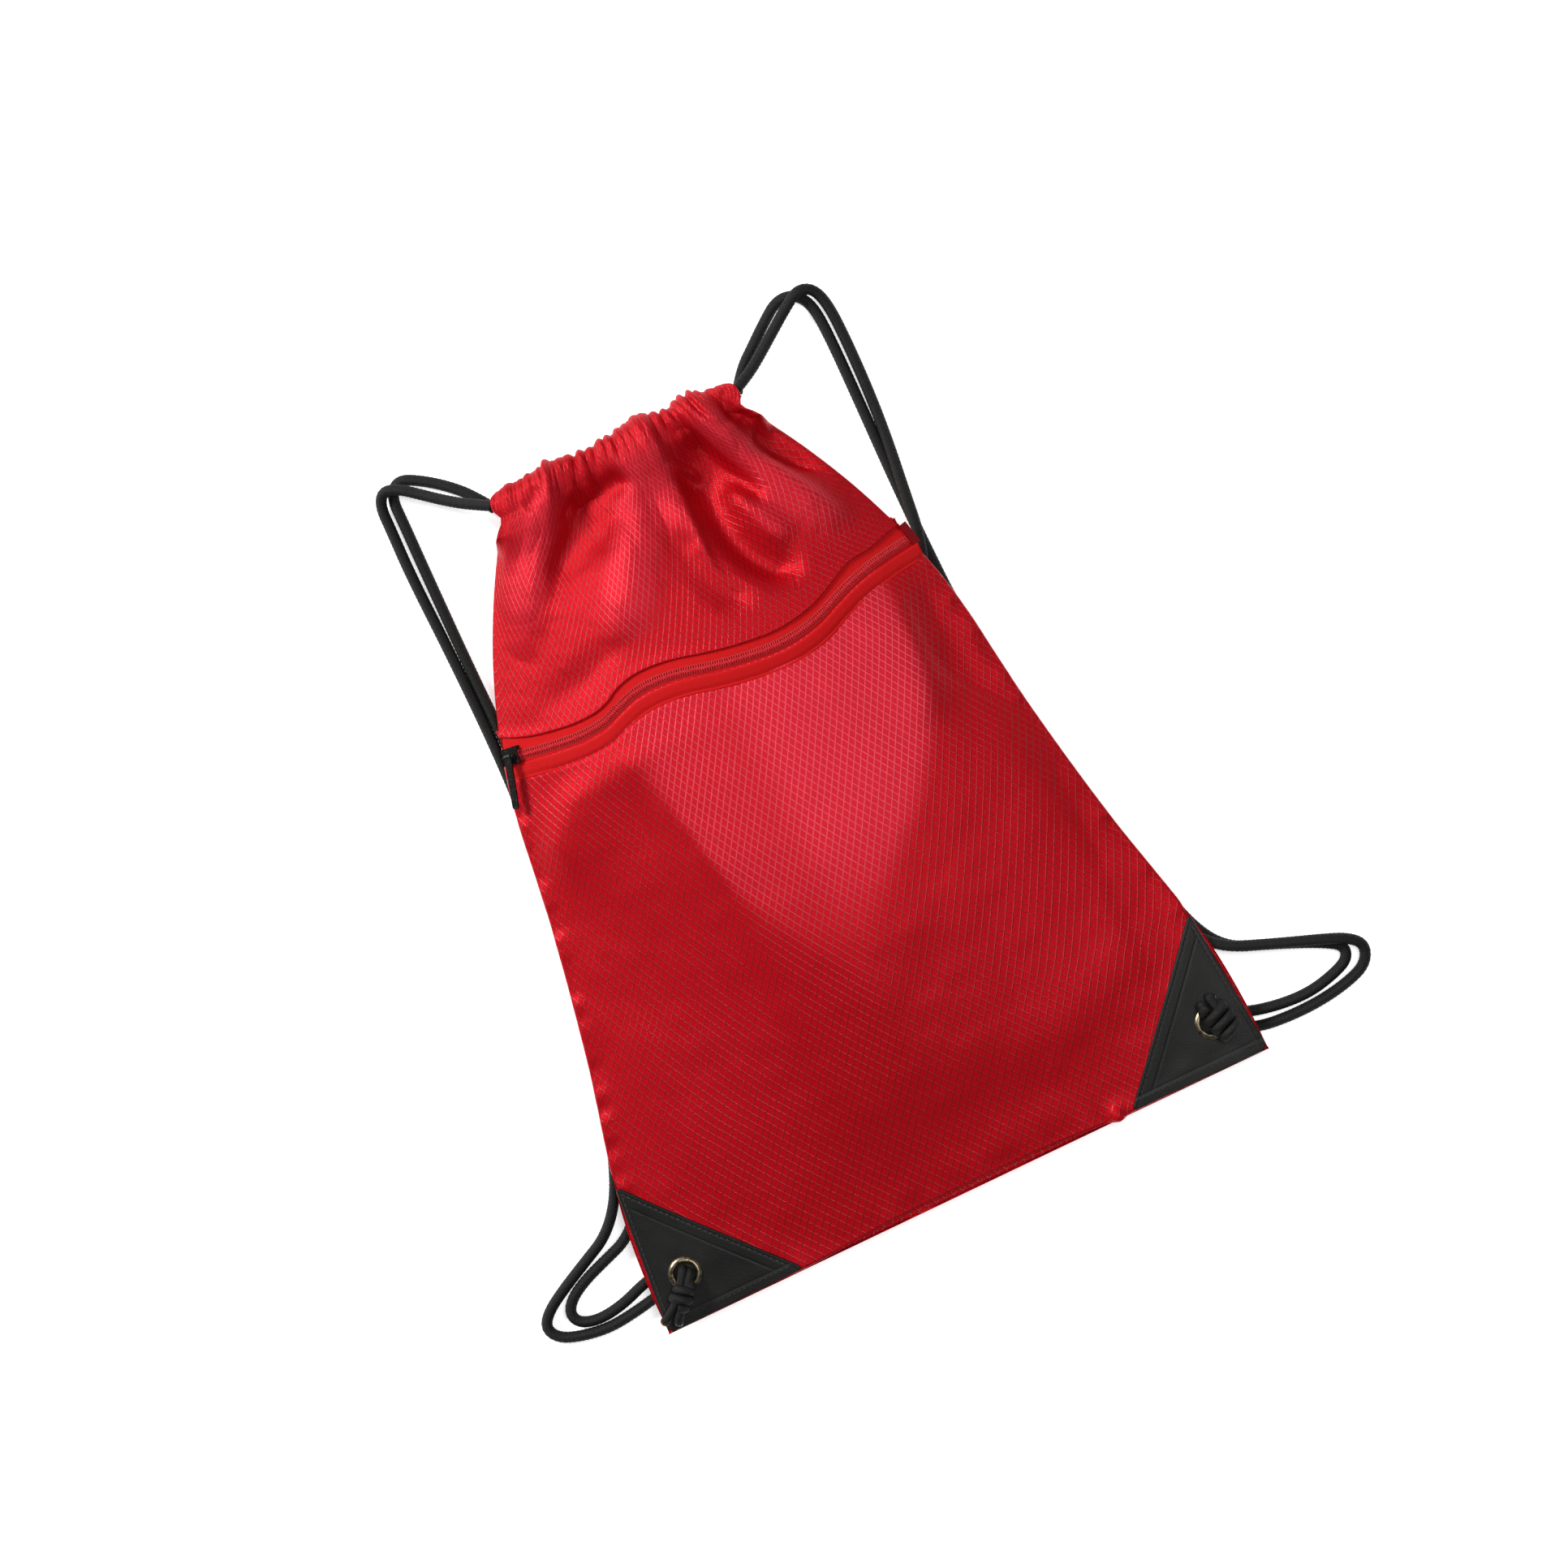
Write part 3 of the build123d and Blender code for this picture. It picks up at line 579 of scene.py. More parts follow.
# Folds: the line that each follows, its width on either side, its height, which is negative for a
# valley, and over which share of its length it fades at the end.
FOLDS = [
    ([(31, 208), (33, 190), (35, 174), (35, 160), (37, 147), (42, 134), (50, 123), (59, 117), (70, 115)],
     9.0, 10.0, -9.5, 0.2),
    ([(34, 218), (39, 204), (44, 191), (49, 181), (54, 172), (57, 163), (55, 152)], 6.5, 4.5, -7.0, 0.3),
    ([(45, 178), (48, 166), (52, 152), (58, 139), (68, 130)], 6.5, 9.0, 3.6, 0.3),
    ([(14, 238), (9, 215), (2, 194), (-10, 172), (-21, 154), (-31, 136), (-42, 112)], 12, 15, 6.4, 0.25),
    ([(-33, 236), (-41, 214), (-52, 197), (-63, 180), (-76, 160), (-92, 134)], 14, 7.5, 5.4, 0.4),
    ([(-19, 203), (-28, 195), (-39, 185), (-50, 175), (-60, 163), (-66, 150)], 5.5, 15, -4.8, 0.4),
    ([(4, 203), (-8, 199), (-20, 198), (-32, 199), (-36, 203)], 7.0, 6.0, -5.0, 0.2),
    ([(44, 234), (52, 212), (57, 198), (62, 184), (68, 172), (76, 158), (88, 138), (100, 120)],
     12, 7.0, 7.5, 0.3),
    ([(58, 220), (66, 204), (72, 190), (80, 177), (94, 164), (106, 152)], 6.0, 11, -6.5, 0.35),
    ([(62, 206), (66, 196), (72, 188)], 6.0, 6.0, 3.0, 0.3),
    ([(21, 232), (20, 190), (19, 160), (19, 134), (26, 116)], 9.0, 4.0, 4.2, 0.3),
    ([(12, 170), (14, 146), (19, 124), (32, 104)], 9.0, 7.0, -3.6, 0.25),
    ([(-40, 126), (-60, 110), (-84, 104), (-104, 106)], 10, 10, -3.6, 0.3),
    ([(-44, 216), (-52, 210), (-58, 206)], 3.5, 3.5, -2.0, 0.3),
    ([(22, 200), (28, 191), (37, 182)], 3.0, 3.0, 3.0, 0.35),
]
# Broad swells of the lower front, in the same form.
BROAD = [
    ([(106, 104), (98, 76), (97, 52), (90, 30), (74, 6)], 22, 11, 2.6, 0.35),
    ([(126, 96), (118, 60), (112, 20), (108, -20)], 14, 40, -2.4, 0.5),
    ([(-140, 24), (-120, 38), (-98, 54), (-54, 84)], 20, 15, 4.0, 0.25),
    ([(-120, 24), (-104, -40), (-90, -110)], 26, 26, -1.6, 0.4),
    ([(158, -130), (100, -155), (40, -185)], 18, 18, 1.4, 0.3),
]
# Lower boundary of the tilted facet in the middle of the lower front.
FACET = [
    (-72, 84), (-56, 36), (-42, -22), (-22, -58), (0, -76),
    (26, -58), (58, -26), (84, 6), (99, 40), (106, 90),
]
FACET_CURVE = spline(FACET, 200)
FACET_SLOPE = 0.042
FACET_TOP = 100.0


def facet_height(x, y):
    """The middle of the lower front leans towards the mouth; its foot is a blunt V that fades out below."""
    x = np.where(x > 50, 50 + (x - 50) * (0.62 + 0.38 * smoothstep((y + 10) / 60)), x)
    boundary = np.interp(x, FACET_CURVE[:, 0], FACET_CURVE[:, 1])
    edges = smoothstep((x + 84) / 22) * smoothstep((122 - x) / 22)
    below = smoothstep((y + 216) / (boundary + 216))
    soft = boundary + np.logaddexp(0, (y - boundary) / 5) * 5
    return FACET_SLOPE * np.maximum(FACET_TOP - soft, 0) * edges * below


def facet_painted_sheen(x, y):
    """Painted sheen: how much lighter the facet's cloth is coloured, where light would catch it."""
    boundary = np.interp(x, FACET_CURVE[:, 0], FACET_CURVE[:, 1])
    inside = smoothstep((y - boundary) / 26 + 0.5) * smoothstep((y + 92) / 90)
    strip = 0.55 + 0.45 * smoothstep((x + 10) / 22)
    return inside * strip * smoothstep((x + 70) / 24) * smoothstep((103 - x) / 10)


def fold_height(x, y, folds):
    """Add up the folds, each a round ridge or valley along a smooth line."""
    total = np.zeros(np.broadcast(x, y).shape)
    for line, left, right, height, fade_share in folds:
        path, _ = even(spline(line, 60), 4.0)
        best = np.full(total.shape, 1e9)
        where = np.zeros(total.shape)
        side = np.zeros(total.shape)
        spans = len(path) - 1
        for k, (start, end) in enumerate(zip(path[:-1], path[1:])):
            run = end - start
            length = np.hypot(*run)
            dx, dy = x - start[0], y - start[1]
            along = (dx * run[0] + dy * run[1]) / length ** 2
            t = np.clip(along, 0, 1)
            distance = (dx - t * run[0]) ** 2 + (dy - t * run[1]) ** 2
            nearer = distance < best
            best = np.where(nearer, distance, best)
            where = np.where(nearer, (k + t) / spans, where)
            side = np.where(nearer, (dy * run[0] - dx * run[1]) / length, side)
        away = np.sqrt(best)
        mixed = 0.5 + 0.5 * np.tanh(side / 2.0)
        width = left * (1 - mixed) + right * mixed
        # A fold that comes out of the casing is at full height at once; others grow from nothing.
        start_share = 0.05 if line[0][1] > 222 else 0.28
        ends = smoothstep((1 - where) / fade_share + 0.02) * smoothstep(where / start_share + 0.02)
        total += height * ends * bell(away, width)
    return total


ripple_noise = Noise(11)
wander_noise = Noise(5)
crumple_noise = Noise(23)

# Pleats: pitch, depth, how far down the cloth they reach, and a seed.
PLEATS = ((5.8, 2.1, 17, 3), (11.5, 2.0, 36, 17), (26, 1.7, 80, 31))


def pleats(x, down):
    """Gathers below the cord: rounded ridges, narrow valleys; the narrow ones die out first."""
    many = np.exp(-(((x + 21) / 25) ** 4)) + np.exp(-(((x - 37) / 18) ** 4))
    total = np.zeros(np.broadcast(x, down).shape)
    for pitch, depth, reach, seed in PLEATS:
        spread = 1 + np.maximum(down, 0) / 190
        place = x / spread / pitch + 0.55 * wander_noise(x / 19 + seed, down / 30 + seed)
        strength = 0.65 + 0.5 * ripple_noise(x / spread / (pitch * 1.7) + seed, seed + down / 60)
        if pitch < 8:
            strength = strength * (0.25 + 0.85 * many)
        fade = np.exp(-((np.maximum(down, 0) / reach) ** 1.5))
        total = total + depth * strength * fade * (np.abs(np.sin(pi * place)) ** 0.75 - 0.62) * 1.5
    return total


def hem_rise(below):
    """The folded hem beside the zip, with the groove of its top stitching."""
    return 0.95 * bell(below, 4.6) - 0.75 * bell(below - 7.4, 0.9)


def with_rims(points, out, drop):
    """Add a turned edge along each side seam."""
    left = points[:, :1] + (-out, 0, drop)
    right = points[:, -1:] + (out, 0, drop)
    return np.concatenate([left, points, right], axis=1)


def turned_rows(row, *moves):
    """Copies of a cloth's last row, each moved: its turned hem."""
    return [row + move for move in moves]


def sew(name, points, flat_v, material, painted_sheen=None, flip=False):
    """Make a cloth of a grid with rims: its UV map is the flat cloth, flat_v the place along it."""
    flat_u = np.pad(np.linspace(-1, 1, points.shape[1] - 2), 1, mode="edge") * UV_HALF
    uvs = np.stack([np.broadcast_to(flat_u, flat_v.shape), flat_v], axis=-1)
    obj = grid_mesh(name, points, uvs, material, flip=flip)
    # Painted sheen, carried to the cloth's shader as a point attribute.
    if painted_sheen is not None:
        layer = obj.data.attributes.new("painted_sheen", "FLOAT", "POINT")
        layer.data.foreach_set("value", painted_sheen.ravel())
    thicken(obj, CLOTH_THICK)
    return obj


def front_lower(cloth):
    """The front from the bottom seam to the hem along the zip's lower side."""
    columns, rows = 271, 230
    u = np.linspace(-1, 1, columns)[None, :]
    v = np.linspace(0, 1, rows)[:, None]
    foot_y = BOTTOM_Y + 1.2
    nick_x = 89              # where the bottom seam is caught up into a small knot of cloth
    half = np.full((rows, columns), 177.0)
    # The width depends on y and the hem's y on x, so they are settled in turns.
    for _ in range(4):
        x = u * half
        top = zip_y(x) - HEM_GAP
        y = foot_y + (top - foot_y) * v
        half = half_width(y) - 1.9 * smoothstep((-128 - y) / 16)
    x = u * half
    sag = 3.2 * np.exp(-((x / 70) ** 4)) * smoothstep((-200 - y) / 22)
    z = front_z(x, y)
    inside = smoothstep((1 - np.abs(u)) / 0.14)
    swell = fold_height(x, y, BROAD) + facet_height(x, y)
    z = z + swell * inside * smoothstep((y + 216) / 60) * smoothstep((top - y - 3) / 26)
    z = z + 0.45 * crumple_noise(x / 30, y / 26) + 0.16 * crumple_noise(x / 10 + 7, y / 10)
    pucker = bell(np.abs(u) - 0.985, 0.03) * ripple_noise(y / 7, np.sign(x) * 3 + 10)
    z = z + 0.9 * pucker
    z = z + 0.8 * bell(y - BOTTOM_Y - 3, 7) * ripple_noise(x / 9, 30)
    z = z + hem_rise(top - y)
    z = z + 3.0 * bell(x - nick_x, 4.2) * bell(y - BOTTOM_Y - 3, 4.5)
    y = y + sag - 1.6 * bell(x - nick_x, 4.0) * smoothstep((-214 - y) / 8)
    points = with_rims(grid(x, y, z), 0.5, -1.4)
    foot = turned_rows(points[:1], (0, -0.6, -1.4))
    hem = turned_rows(points[-1:], (0, 0.35, -0.8), (0, 0.1, -1.5), (0, -4.0, -1.6))
    points = np.concatenate([*foot, points, *hem])
    # Painted sheen over the facet of the lower front.
    painted_sheen = facet_painted_sheen(points[..., 0], points[..., 1])
    return sew("front_lower_cloth", points, points[..., 1] - BOTTOM_Y, cloth, painted_sheen)


# The mouth's edge in section, seen from the side: along the front, over the top, down inside.
CASING_ROLL = np.array([
    (200, 27.9), (204, 28.7), (208, 29.3), (213, 29.6), (218, 29.1), (221.4, 27.4), (223.2, 24.4),
    (222.4, 21.6), (219, 19.6), (213, 19.0), (207, 19.2), (203.4, 20.6),
])


def displaced(points, height):
    """Move a grid of points along its own normals."""
    across = np.gradient(points, axis=1)
    along = np.gradient(points, axis=0)
    normal = np.cross(across, along)
    normal /= np.linalg.norm(normal, axis=-1, keepdims=True) + 1e-9
    return points + normal * height[..., None]


def gathered_sheet(u, start, roll, surface):
    """A grid that climbs a surface from start to the casing, then follows the casing's roll.

    Also returns how far each point lies below the mouth's edge, along the cloth.
    """
    climb, _ = even(roll, 0.55)
    first, level = climb[0]
    slope = (climb[1, 1] - level) / (climb[1, 0] - first)
    v = np.linspace(0, 1, 190)[:, None]
    half = np.full((len(v), u.shape[1]), 110.0)
    for _ in range(5):
        x = u * half
        y = start(x) + (first - start(x)) * v
        half = half_width(y)
    x = u * half
    reach = 6 + 34 * (1 - np.abs(u) ** 5)
    join = smoothstep((y - (first - reach)) / reach)
    z = surface(x, y) * (1 - join) + (level + slope * (y - first)) * join
    roll_y, roll_z = climb[1:, :1], climb[1:, 1:]
    roll_x = u * half_width(np.maximum.accumulate(roll_y, axis=0))
    points = np.concatenate([grid(x, y, z), grid(roll_x, roll_y, roll_z)])
    steps = np.linalg.norm(np.diff(points, axis=0), axis=-1)
    run = np.concatenate([np.zeros((1, u.shape[1])), np.cumsum(steps, axis=0)])
    top_row = len(v) + int(np.argmax(climb[1:, 0]))
    return points, run[top_row] - run


def front_upper(cloth):
    """The front from the zip to the mouth, gathered, with its edge rolled over the cord."""
    columns = 521
    u = np.linspace(-1, 1, columns)[None, :]
    edge = spline(UPPER_EDGE, 120)

    def start(x):
        return zip_y(x) + np.interp(x, edge[:, 0], edge[:, 1])

    points, down = gathered_sheet(u, start, spline(CASING_ROLL, 60), front_z)
    x, y = points[..., 0], points[..., 1]
    above_zip = y - start(x)
    folds = fold_height(x, np.where(down < 0, 223.5, y), FOLDS)
    small = pleats(x, down)
    small = small + 0.3 * crumple_noise(x / 13, down / 13) + 0.13 * crumple_noise(x / 5 + 9, down / 5)
    side = smoothstep((1 - np.abs(u)) / 0.09)
    zip_fade = smoothstep((above_zip - 3) / 26)
    inner_fade = 1 - 0.85 * smoothstep(-down / 7)
    lip = 1 - 0.50 * smoothstep((20 - down) / 20)
    folds = np.where(folds < 0, folds, folds * lip)
    # The cord inside holds the casing up; below it the valleys may drop away.
    brink = down - 18.5 - 2.6 * ripple_noise(x / 4.2 + 3, 0) - 1.5 * ripple_noise(x / 14, 7)
    brink = np.logaddexp(0, brink / 2.0) * 2.0
    folds = np.maximum(folds, -0.5 - 0.62 * brink)
    small = np.maximum(small, -0.8 - 0.4 * np.maximum(brink, 0))
    height = (folds + small) * zip_fade * side * inner_fade
    height = height + 0.7 * bell(above_zip, 4.0) * (down > 30)
    points = displaced(points, height)
    # Painted sheen: the cloth is coloured lighter along the folds' ridges, fading out near the mouth's edge.
    fold_painted_sheen = 0.55 * smoothstep(fold_height(x, y, FOLDS) / 4.5) * smoothstep((down - 6) / 16)
    points = with_rims(points, 0.4, -1.2)
    down = np.pad(down, ((0, 0), (1, 1)), mode="edge")
    hem = turned_rows(points[:1], (0, 4.0, -1.6), (0, -0.1, -1.4), (0, -0.4, -0.7))
    points = np.concatenate([*hem, points])
    flat_v = UV_TOP - np.concatenate([down[:1] - 4, down[:1] + 1, down[:1] + 0.5, down])
    return sew("front_upper_cloth", points, flat_v, cloth, np.pad(fold_painted_sheen, ((len(hem), 0), (1, 1))))


# The same for the back, along the outside and over the top.
BACK_ROLL = np.array([
    (200, 4.2), (204, 2.2), (209, 1.3), (215, 1.3), (220, 2.4), (223.2, 6.0),
    (220.5, 9.4), (214, 10.4), (208, 10.4), (203.6, 9.0),
])


def back_cloth(cloth):
    """The plain back, with its own casing."""
    columns = 401
    u = np.linspace(-1, 1, columns)[None, :]
    points, down = gathered_sheet(u, lambda x: BOTTOM_Y + 0 * x, spline(BACK_ROLL, 60), back_z)
    x, y = points[..., 0], points[..., 1]
    side = smoothstep((1 - np.abs(u)) / 0.09)
    height = (0.8 * pleats(x * 0.97 + 60, down) + 0.4 * crumple_noise(x / 22, y / 22)) * side
    height = height * smoothstep((y - 20) / 120)
    points = displaced(points, -height)
    points[..., 2] = np.maximum(points[..., 2], FLOOR_GAP)
    points = with_rims(points, 0, 0.9)
    down = np.pad(down, ((0, 0), (1, 1)), mode="edge")
    points = np.concatenate([*turned_rows(points[:1], (0, 0.1, 0.9)), points])
    flat_v = UV_TOP - np.concatenate([down[:1] + 1, down])
    return sew("back_cloth", points, flat_v, cloth, flip=True)


# ---- Small repeated parts ----


def capsules(name, centres, directions, length, radius, material):
    """Many short round-ended rods in one mesh."""
    around = 8
    rings = np.array([(-1.0, 0.0), (-0.92, 0.62), (-0.7, 1.0), (0.7, 1.0), (0.92, 0.62), (1.0, 0.0)])
    directions = unit(directions)
    across = unit(np.cross(directions, (0.0, 0.0, 1.0)))
    normal = np.cross(across, directions)
    angle = circle(around)
    shell = grid_faces(len(rings), around, wrap=True, flip=True)
    points, faces = [], []
    for k in range(len(centres)):
        ring = np.cos(angle)[:, None] * across[k] + np.sin(angle)[:, None] * normal[k]
        at = centres[k] + directions[k] * rings[:, :1] * length / 2
        body = at[:, None] + ring[None] * (rings[:, 1, None, None] * radius)
        points.append(body.reshape(-1, 3))
        faces.append(shell + k * len(rings) * around)
    points = np.concatenate(points)
    return make_mesh(name, points, np.concatenate(faces), points[:, :2], material)


def stitch_row(name, line, level, material, spacing, length, radius):
    """A row of stitches along a line seen from above; level gives the surface under it."""
    run, _ = even(line, spacing)
    base, tip = run[:-1], run[1:]
    middle = (tip + base) / 2
    heading = np.column_stack([tip - base, level(*tip.T) - level(*base.T)])
    return capsules(name, np.column_stack([middle, level(*middle.T)]), heading, length, radius, material)


def tube_mesh(name, line, at, angle, radius, uv_around, material):
    """A closed tube about a line; at is the run along it, radius has a row for each of its points."""
    side, up = frames_along(line)
    ring = side[:, None] * np.cos(angle)[None, :, None] + up[:, None] * np.sin(angle)[None, :, None]
    points = line[:, None] + ring * radius[..., None]
    shape = points.shape[:2]
    uvs = np.stack([np.broadcast_to(at[:, None], shape), np.broadcast_to(angle * uv_around, shape)], axis=-1)
    around, count = len(angle), len(line) * len(angle)
    faces = [tuple(f) for f in grid_faces(*shape, wrap=True)]
    faces += [tuple(range(around))[::-1], tuple(range(count - around, count))]
    return make_mesh(name, points.reshape(-1, 3), faces, uvs.reshape(-1, 2), material)


def round_tube(name, path, radii, material, step=1.2, around=12):
    """A plain round tube along a path; radii are spread evenly along it."""
    line, at = even(path, step)
    angle = circle(around)
    radius = np.interp(at / at[-1], np.linspace(0, 1, len(radii)), radii)
    return tube_mesh(name, line, at, angle, radius[:, None], 3, material)


def braided_tube(name, path, material, radius=CORD_RADIUS):
    """A plaited tube along a path: each plait passes over one and under one."""
    carriers, plait_pitch, step = 8, 2.3, 0.5
    depth = 0.13 * radius
    line, at = even(path, step)
    segments = carriers * 4
    angle = circle(segments)
    turns = carriers * angle / (2 * pi)
    rise = at[:, None] / plait_pitch
    p = turns[None, :] + rise
    q = turns[None, :] - rise
    over = (np.floor(p) + np.floor(q)) % 2 == 0
    hump_p = 1 - (2 * (p % 1) - 1) ** 2
    hump_q = 1 - (2 * (q % 1) - 1) ** 2
    hump = np.where(over, np.sqrt(hump_p) * (0.55 + 0.45 * hump_q), np.sqrt(hump_q) * (0.55 + 0.45 * hump_p))
    r = radius - depth + depth * 1.25 * hump
    return tube_mesh(name, line, at, angle, r, radius, material)


def ride_bag(piece, slot, *nodes):
    """The piece rides on the bag's body, and stands for the nodes, if any are named."""
    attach(piece, "bag")
    if nodes:
        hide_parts(*nodes)
    return piece


# ---- Zip ----


COIL_RISE = 0.9          # the coil's centre above the tape


def tape_level(x, y):
    """The tapes lie a little under the cloth on both sides."""
    return front_z(x, y) - 0.55


def make_tape(name, near, far, material):
    """One side's tape: a ribbon beside the zip's centre line, cut off at the side seams."""
    x = np.linspace(-123.6, 122.6, 260)[None, :]
    share = np.linspace(0, 1, 12)[:, None]
    y = zip_y(x) + near + (far - near) * share
    z = tape_level(x, y) + 0.35 * bell(np.abs(y - zip_y(x)) - 2.6, 0.8)
    reach = half_width(y)
    points = grid(np.clip(x, 0.9 - reach, reach + 0.9), y, z)
    obj = grid_mesh(name, points, grid(x, y, z)[..., :2], material, flip=far < near)
    thicken(obj, 0.5)
    return obj


def make_facing(material):
    """The smooth band folded over the lower front's hem, stitched along its lower side."""
    x = np.linspace(-126.5, 124.5, 260)[None, :]
    below = np.array([-0.1, 0.0, 0.5, 1.5, 3.0, 4.6, 6.0, 6.9, 7.4, 7.9, 8.6, 9.0])[:, None]
    y = zip_y(x) - HEM_GAP - below
    proud = np.interp(below, (0.0, 0.3, 1.5, 8.4, 9.0), (-0.5, 0.25, 0.42, 0.40, -0.15))
    points = grid(x, y, front_z(x, y) + hem_rise(below) + proud)
    obj = grid_mesh("zip_facing", points, points[..., :2], material, flip=True)
    thicken(obj, 0.3)
    return obj


def make_zip():
    """Tapes, facing, the two rows of teeth, their sewing threads and a dark tube under them, painted shade
    beneath the coil.
    """
    cloth = tape_cloth()
    plastic = coil_plastic()
    ride_bag(make_facing(cloth), "zip_tape")
    ride_bag(make_tape("zip_tape_upper_cloth", 0.5, 15.0, cloth), "zip_tape", "zip_tape_upper")
    ride_bag(make_tape("zip_tape_lower_cloth", -0.5, -9.0, cloth), "zip_tape", "zip_tape_lower")
    line, _ = even(ZIP_CURVE, ZIP_TOOTH_PITCH / 2)
    line = line[10:-4]
    heading = unit(np.gradient(line, axis=0))
    square = np.stack([-heading[:, 1], heading[:, 0]], axis=1)
    for first, side, name in ((0, 1, "upper"), (1, -1, "lower")):
        spot = line[first::2] + square[first::2] * side * 0.75
        cross = square[first::2] * side + heading[first::2] * 0.16
        centres = np.column_stack([spot, tape_level(*spot.T) + COIL_RISE])
        rods = np.column_stack([cross, np.full(len(cross), -0.10)])
        teeth = capsules("zip_teeth_" + name, centres, rods, 3.3, 0.47, plastic)
        ride_bag(teeth, "zip_coil", "zip_coil_" + name)
    thread = thread_material("zip_thread", (0.40, 0.010, 0.014))

    def thread_level(x, y):
        return tape_level(x, y) + 0.45

    for side in (-1, 1):
        edge = ZIP_CURVE[10:-4] + (0, side * 2.3)
        name = "coil_thread_%d" % (side + 1)
        ride_bag(stitch_row(name, edge, thread_level, thread, ZIP_TOOTH_PITCH, 1.5, 0.3), "zip_tape")
    # Painted shade: a dark tube under the teeth, where the coil's shadow falls.
    coil_shade_line = np.column_stack([ZIP_CURVE, tape_level(*ZIP_CURVE.T) + 0.25])
    dark = plain_material("zip_painted_shade_under_coil", (0.10, 0.012, 0.015), 0.7)
    ride_bag(round_tube("zip_core", coil_shade_line[6:-3], [0.95], dark), "zip_coil")


# ---- Corner patches, grommets and knots ----


PATCH_CORNERS = np.array([(177.4, -221.4), (170.0, -137.5), (96.6, -220.4)])
PATCH_THICK = 1.0


def rounded_outline(corners, radii, samples):
    """A closed outline with round corners, evenly spaced."""
    pieces = []
    for k, corner in enumerate(corners):
        before = unit(corners[k - 1] - corner)
        after = unit(corners[(k + 1) % len(corners)] - corner)
        half = np.arccos(np.clip(before @ after, -1, 1)) / 2
        reach = radii[k] / np.tan(half)
        start, end = corner + before * reach, corner + after * reach
        t = np.linspace(0, 1, 14)[:, None]
        pieces.append((1 - t) ** 2 * start + 2 * t * (1 - t) * corner + t**2 * end)
    outline = np.concatenate(pieces + [pieces[0][:1]])
    return even(outline, np.linalg.norm(np.diff(outline, axis=0), axis=1).sum() / samples)[0][:-1]


def away_from(x, y, a, b):
    """Distance to the line through a and b."""
    along = unit(b - a)
    return np.abs((x - a[0]) * -along[1] + (y - a[1]) * along[0])


def make_patch(side, front, material, thread):
    """A triangular corner patch lying on the cloth, its edges turned and stitched."""
    word = ("front" if front else "back") + ("_left" if side < 0 else "_right")
    tips = PATCH_CORNERS * (side, 1)
    corners = tips[[0, 2, 1]] if side < 0 else tips
    outline = rounded_outline(corners, (5.0, 2.0, 2.0), 420)
    centre = corners.mean(axis=0)
    flat = centre + (outline[None] - centre) * np.linspace(0, 1, 66)[:, None, None]
    x, y = flat[..., 0], flat[..., 1]
    base, sign = (front_z, 1) if front else (back_z, -1)
    hypotenuse = away_from(x, y, tips[1], tips[2])
    bottom = np.abs(y - tips[0, 1])
    outer = away_from(x, y, tips[0], tips[1])
    edge = np.minimum(np.minimum(hypotenuse, bottom), outer)
    # A pressed groove beside the long edge, a turned band along the bottom, a stitched margin.
    inside = smoothstep((outer - 2) / 4) * smoothstep((bottom - 5) / 4)
    rise = PATCH_THICK + 0.25 - 0.22 * bell(hypotenuse - 7.6, 0.55) * inside
    rise = rise + 0.18 * smoothstep((7.0 - bottom) / 1.6) - 0.15 * bell(bottom - 6.4, 0.6)
    rise = rise - 0.15 * bell(np.minimum(hypotenuse, outer) - 2.4, 0.5)
    rise = rise + 0.28 * crumple_noise(x / 12 + 3, y / 12) * smoothstep((edge - 4) / 8)
    rise = rise * np.sqrt(np.clip(1 - np.clip(1 - edge / 0.7, 0, 1) ** 2, 0.02, 1))
    z = base(x, y) + sign * rise
    z = z if front else np.maximum(z, 0.05)
    points = grid(x, y, z)
    points = np.concatenate([points, points[-1:] + (0, 0, -sign * 0.9)])
    flip = (side > 0) == front
    patch = grid_mesh("patch_" + word, points, points[..., :2], material, wrap=True, flip=flip)
    ride_bag(patch, "corner_leather", "corner_patch_" + word)
    if not front:
        return

    def top(a, b):
        return front_z(a, b) + PATCH_THICK + 0.30

    def inset(a, b, distance):
        """The line from a to b, moved into the patch and cut short at both ends."""
        along = unit(b - a)
        square = np.array([-along[1], along[0]])
        if square @ (centre - a) < 0:
            square = -square
        return np.array([a + square * distance + along * 5, b + square * distance - along * 7])

    for number, (k, j, distance) in enumerate(((1, 2, 2.4), (0, 1, 2.4), (0, 2, 4.2))):
        name = "patch_stitches_%s_%d" % (word, number)
        row = stitch_row(name, inset(tips[k], tips[j], distance), top, thread, 3.2, 2.4, 0.27)
        ride_bag(row, "corner_leather")


def lathe(name, profile, centre, material):
    """Turn a profile of radius and level about an upright axis."""
    around = 72
    ring, _ = even(np.array(profile, float), 0.22)
    angle = circle(around)
    x = centre[0] + ring[:, :1] * np.cos(angle)
    y = centre[1] + ring[:, :1] * np.sin(angle)
    points = grid(x, y, ring[:, 1:])
    return grid_mesh(name, points, points[..., :2], material, wrap=True)


